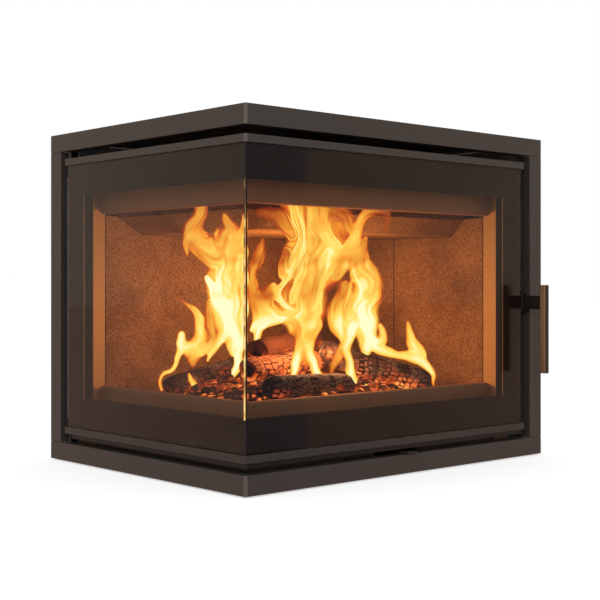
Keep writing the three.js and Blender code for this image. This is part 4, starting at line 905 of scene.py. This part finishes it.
# how thick and hot the fire is at each grid point, how far it lies beside its spine, and how deep it stands
def flameField(across, up):
    thick, weight = np.zeros(across.shape), np.full(across.shape, 1e-9)
    aside, warm, depth = np.zeros(across.shape), np.zeros(across.shape), np.zeros(across.shape)
    p = flamePlane
    for behind, points in flames.values():
        spine = smoothSpine(points)
        run = np.gradient(spine[:, :2], axis=0)
        run /= np.linalg.norm(run, axis=1)[:, None] + 1e-9
        half = np.maximum(spine[:, 2], p["thinnest"])
        offX, offY = across[..., None] - spine[:, 0], up[..., None] - spine[:, 1]
        away = (offX ** 2 + offY ** 2) / half ** 2
        near = away.argmin(axis=-1)
        away = np.take_along_axis(away, near[..., None], -1)[..., 0]
        share = np.clip(1 - away, 0, 1)
        offX, offY = (np.take_along_axis(off, near[..., None], -1)[..., 0] for off in (offX, offY))
        side = offX * run[near, 1] - offY * run[near, 0]
        thick += share
        soft = np.exp(-p["blend"] * away) + share * p["coreBlend"]
        weight += soft
        aside += soft * side
        warm += soft * spine[near, 3]
        depth += soft * (behind + half[near] * p["bulge"] * (0.5 - share))
    return thick, aside / weight, warm / weight, depth / weight


def addCurtain(name, material):
    p = flamePlane
    columns = int((p["toAcross"] - p["fromAcross"]) / p["step"])
    levels = int((p["toUp"] - p["fromUp"]) / p["step"])
    across, up = np.meshgrid(np.linspace(p["fromAcross"], p["toAcross"], columns),
                             np.linspace(p["fromUp"], p["toUp"], levels))
    swayed = np.array([[noise.noise(Vector((a / p["swayWide"], b / p["swayHigh"], 4))) for a, b in zip(*row)]
                       for row in zip(across, up)])
    thick, aside, warm, depth = flameField(across + p["sway"] * swayed, up)
    bm = bmesh.new()
    uv = bm.loops.layers.uv.new("flow")
    made = {}
    burn, flat = [], []

    def corner(i, k):
        if (i, k) not in made:
            made[i, k] = bm.verts.new(flamePlace(across[i, k], up[i, k], depth[i, k]))
            burn.append((min(2.0, thick[i, k]), warm[i, k]))
            flat.append(((aside[i, k] + swayed[i, k] * p["flowSway"]) * mm, up[i, k] * mm))
        return made[i, k]

    for i in range(levels - 1):
        for k in range(columns - 1):
            if thick[i:i + 2, k:k + 2].max() > p["least"]:
                bm.faces.new([corner(i, k), corner(i, k + 1), corner(i + 1, k + 1), corner(i + 1, k)])
    bm.verts.index_update()
    for face in bm.faces:
        for loop in face.loops:
            loop[uv].uv = flat[loop.vert.index]
    keepMap(bm, "burn", burn)
    piece = finishPiece(name, bm, material, "body", smooth=True)
    piece.visible_shadow = False
    piece.visible_diffuse = False


# hot streaks along the flow, orange where the fire is thin, and clear outside the flame's own ragged edge
def makeFlameMaterial():
    look = {"fine": (95.0, 15.0, 1.0), "wide": (34.0, 11.0, 1.0), "ragged": 0.75, "edge": (0.05, 0.42),
            "solid": 0.42, "solidHeat": 0.9, "solidStreak": 1.2,
            "heat": 0.85, "fineStreak": 1.25, "wideStreak": 1.3, "thinFade": 0.75, "lift": 0.06,
            "strength": 1.17}
    material, tree = newMaterial("flame")
    flow = addNode(tree, "UVMap", uv_map="flow").outputs["UV"]
    thick, heat = readMap(tree, "burn")

    def streaksAt(scale):
        scaled = addNode(tree, "Mapping", {"Vector": flow, "Scale": scale})
        noisy = addNode(tree, "TexNoise", {"Vector": scaled.outputs[0], "Scale": 1.0, "Detail": 2.5,
                                           "Roughness": 0.5, "Distortion": 0.7})
        return mathNode(tree, "SUBTRACT", noisy.outputs["Fac"], 0.5)

    fine, wide = streaksAt(look["fine"]), streaksAt(look["wide"])
    frayed = mathNode(tree, "ADD", thick, mathNode(tree, "MULTIPLY", wide, look["ragged"]))
    near, far = look["edge"]
    shape = addNode(tree, "MapRange", {"Value": frayed, "From Min": near, "From Max": far},
                    interpolation_type="SMOOTHSTEP").outputs["Result"]
    solid = mathNode(tree, "ADD", mathNode(tree, "MULTIPLY", heat, look["solidHeat"]), look["solid"])
    solid = mathNode(tree, "ADD", solid, mathNode(tree, "MULTIPLY", wide, look["solidStreak"]), clamp=True)
    alpha = mathNode(tree, "MULTIPLY", shape, solid, clamp=True)
    value = mathNode(tree, "MULTIPLY", heat, look["heat"])
    value = mathNode(tree, "ADD", value, mathNode(tree, "MULTIPLY", fine, look["fineStreak"]))
    value = mathNode(tree, "ADD", value, mathNode(tree, "MULTIPLY", wide, look["wideStreak"]))
    thin = mathNode(tree, "SUBTRACT", 1.0, thick, clamp=True)
    fade = mathNode(tree, "MULTIPLY", mathNode(tree, "POWER", thin, 1.8), look["thinFade"])
    value = mathNode(tree, "ADD", mathNode(tree, "SUBTRACT", value, fade), look["lift"])
    colour = rampNode(tree, value, [(0.0, (0.45, 0.05, 0.004)), (0.18, (0.72, 0.14, 0.012)),
                                    (0.36, (0.92, 0.33, 0.024)), (0.56, (0.97, 0.53, 0.07)),
                                    (0.76, (1.0, 0.73, 0.15)), (1.0, (1.0, 0.95, 0.58))])
    shader = addNode(tree, "BsdfPrincipled", {
        "Base Color": (0, 0, 0, 1), "Roughness": 1.0, "Specular IOR Level": 0.0,
        "Emission Color": colour, "Emission Strength": look["strength"], "Alpha": alpha})
    addNode(tree, "OutputMaterial", {"Surface": shader.outputs[0]})
    material.cycles.emission_sampling = "NONE"
    return material


addCurtain("flames", makeFlameMaterial())
print("flames lit")

# a white studio, while the glass reflects a warmer room and one blue card
studio = {
    "sky": 0.62, "room": (0.86, 0.7, 0.57),                          # the room shows in reflections only
    "floor": 12.0,                                                   # metres from its middle to its edge
    "paper": (0.8, 0.8, 0.8), "paperLift": 0.55,                     # the floor that the camera sees
    "carpet": (0.24, 0.16, 0.12), "carpetSeen": (0.62, 0.42, 0.36),  # the floor as it lights and is reflected
    "cardFrom": (204.5, -260, 0), "cardTo": (346.5, -265, 520), "card": (0.06, 0.24, 0.46),
    "middle": (285, 215, 250),                                       # where the softbox points
}
# lamp sizes are in metres and energies in watts
lamps = {
    "softbox": {"kind": "AREA", "place": (-1500, -1700, 1300), "size": 1.4, "energy": 22.0,
                "colour": (1, 1, 1)},
    "fireGlow": {"kind": "POINT", "place": (250, 150, 215), "size": 0.07, "energy": 2.4,
                 "colour": (1.0, 0.52, 0.24)},
    "emberGlow": {"kind": "POINT", "place": (215, 140, 175), "size": 0.05, "energy": 0.15,
                  "colour": (1.0, 0.40, 0.14)},
}


# only the softbox shows in reflections
def addLamp(name, look):
    data = bpy.data.lights.new(name, look["kind"])
    data.energy = look["energy"]
    data.color = look["colour"]
    lamp = bpy.data.objects.new(name, data)
    lamp.location = spot(*look["place"])
    if look["kind"] == "AREA":
        data.shape = "SQUARE"
        data.size = look["size"]
        aim = spot(*studio["middle"]) - lamp.location
        lamp.rotation_euler = aim.to_track_quat("-Z", "Y").to_euler()
    else:
        data.shadow_soft_size = look["size"]
    for kind in ("camera", "glossy", "transmission"):
        setattr(lamp, "visible_" + kind, kind == "glossy" and name == "softbox")
    bpy.context.scene.collection.objects.link(lamp)


# what the camera sees straight or through the glass, but not what the glass reflects
def seenDirectly(tree):
    path = addNode(tree, "LightPath")
    unreflected = mathNode(tree, "LESS_THAN", path.outputs["Glossy Depth"], 0.5)
    through = mathNode(tree, "MULTIPLY", path.outputs["Is Transmission Ray"], unreflected)
    return mathNode(tree, "MAXIMUM", path.outputs["Is Camera Ray"], through)


def seenReflected(tree):
    path = addNode(tree, "LightPath")
    return mathNode(tree, "MAXIMUM", path.outputs["Is Glossy Ray"], path.outputs["Is Transmission Ray"])


def addRoom():
    world = bpy.data.worlds.new("studio")
    bpy.context.scene.world = world
    world.use_nodes = True
    tree = world.node_tree
    tree.nodes.clear()
    reflected, seen = seenReflected(tree), seenDirectly(tree)
    soft = addNode(tree, "Background", {"Color": (1, 1, 1, 1), "Strength": studio["sky"]})
    room = addNode(tree, "Background", {"Color": (*studio["room"], 1), "Strength": 1.0})
    white = addNode(tree, "Background", {"Color": (1, 1, 1, 1), "Strength": 1.0})
    lit = addNode(tree, "MixShader", {0: reflected, 1: soft.outputs[0], 2: room.outputs[0]})
    mixed = addNode(tree, "MixShader", {0: seen, 1: lit.outputs[0], 2: white.outputs[0]})
    addNode(tree, "OutputWorld", {"Surface": mixed.outputs[0]})


def addFloor():
    material, tree = newMaterial("white floor")
    seen = seenDirectly(tree)
    shade = mixColour(tree, seen, studio["carpet"], studio["paper"])
    paper = addNode(tree, "BsdfDiffuse", {"Color": shade})
    lifted = mathNode(tree, "MULTIPLY", seen, studio["paperLift"])
    lift = addNode(tree, "Emission", {"Color": (1, 1, 1, 1), "Strength": lifted})
    both = addNode(tree, "AddShader", {0: paper.outputs[0], 1: lift.outputs[0]})
    reflected = mathNode(tree, "SUBTRACT", seenReflected(tree), seen, clamp=True)
    warm = addNode(tree, "Emission", {"Color": (*studio["carpetSeen"], 1), "Strength": reflected})
    whole = addNode(tree, "AddShader", {0: both.outputs[0], 1: warm.outputs[0]})
    addNode(tree, "OutputMaterial", {"Surface": whole.outputs[0]})
    bm = bmesh.new()
    bmesh.ops.create_grid(bm, x_segments=1, y_segments=1, size=studio["floor"])
    floor = finishPiece("floor", bm, material)


# a blue card in front of the fire, seen only as a reflection beside the corner
def addCard():
    material, tree = newMaterial("blue card")
    blue = addNode(tree, "Emission", {"Color": (*studio["card"], 1), "Strength": 1.0})
    addNode(tree, "OutputMaterial", {"Surface": blue.outputs[0]})
    bm = bmesh.new()
    addBlock(bm, studio["cardFrom"], studio["cardTo"])
    card = finishPiece("flag", bm, material)
    for kind in ("camera", "diffuse", "transmission", "shadow", "volume_scatter"):
        setattr(card, "visible_" + kind, False)


addRoom()
addFloor()
addCard()
for name, look in lamps.items():
    addLamp(name, look)
print("studio lit")
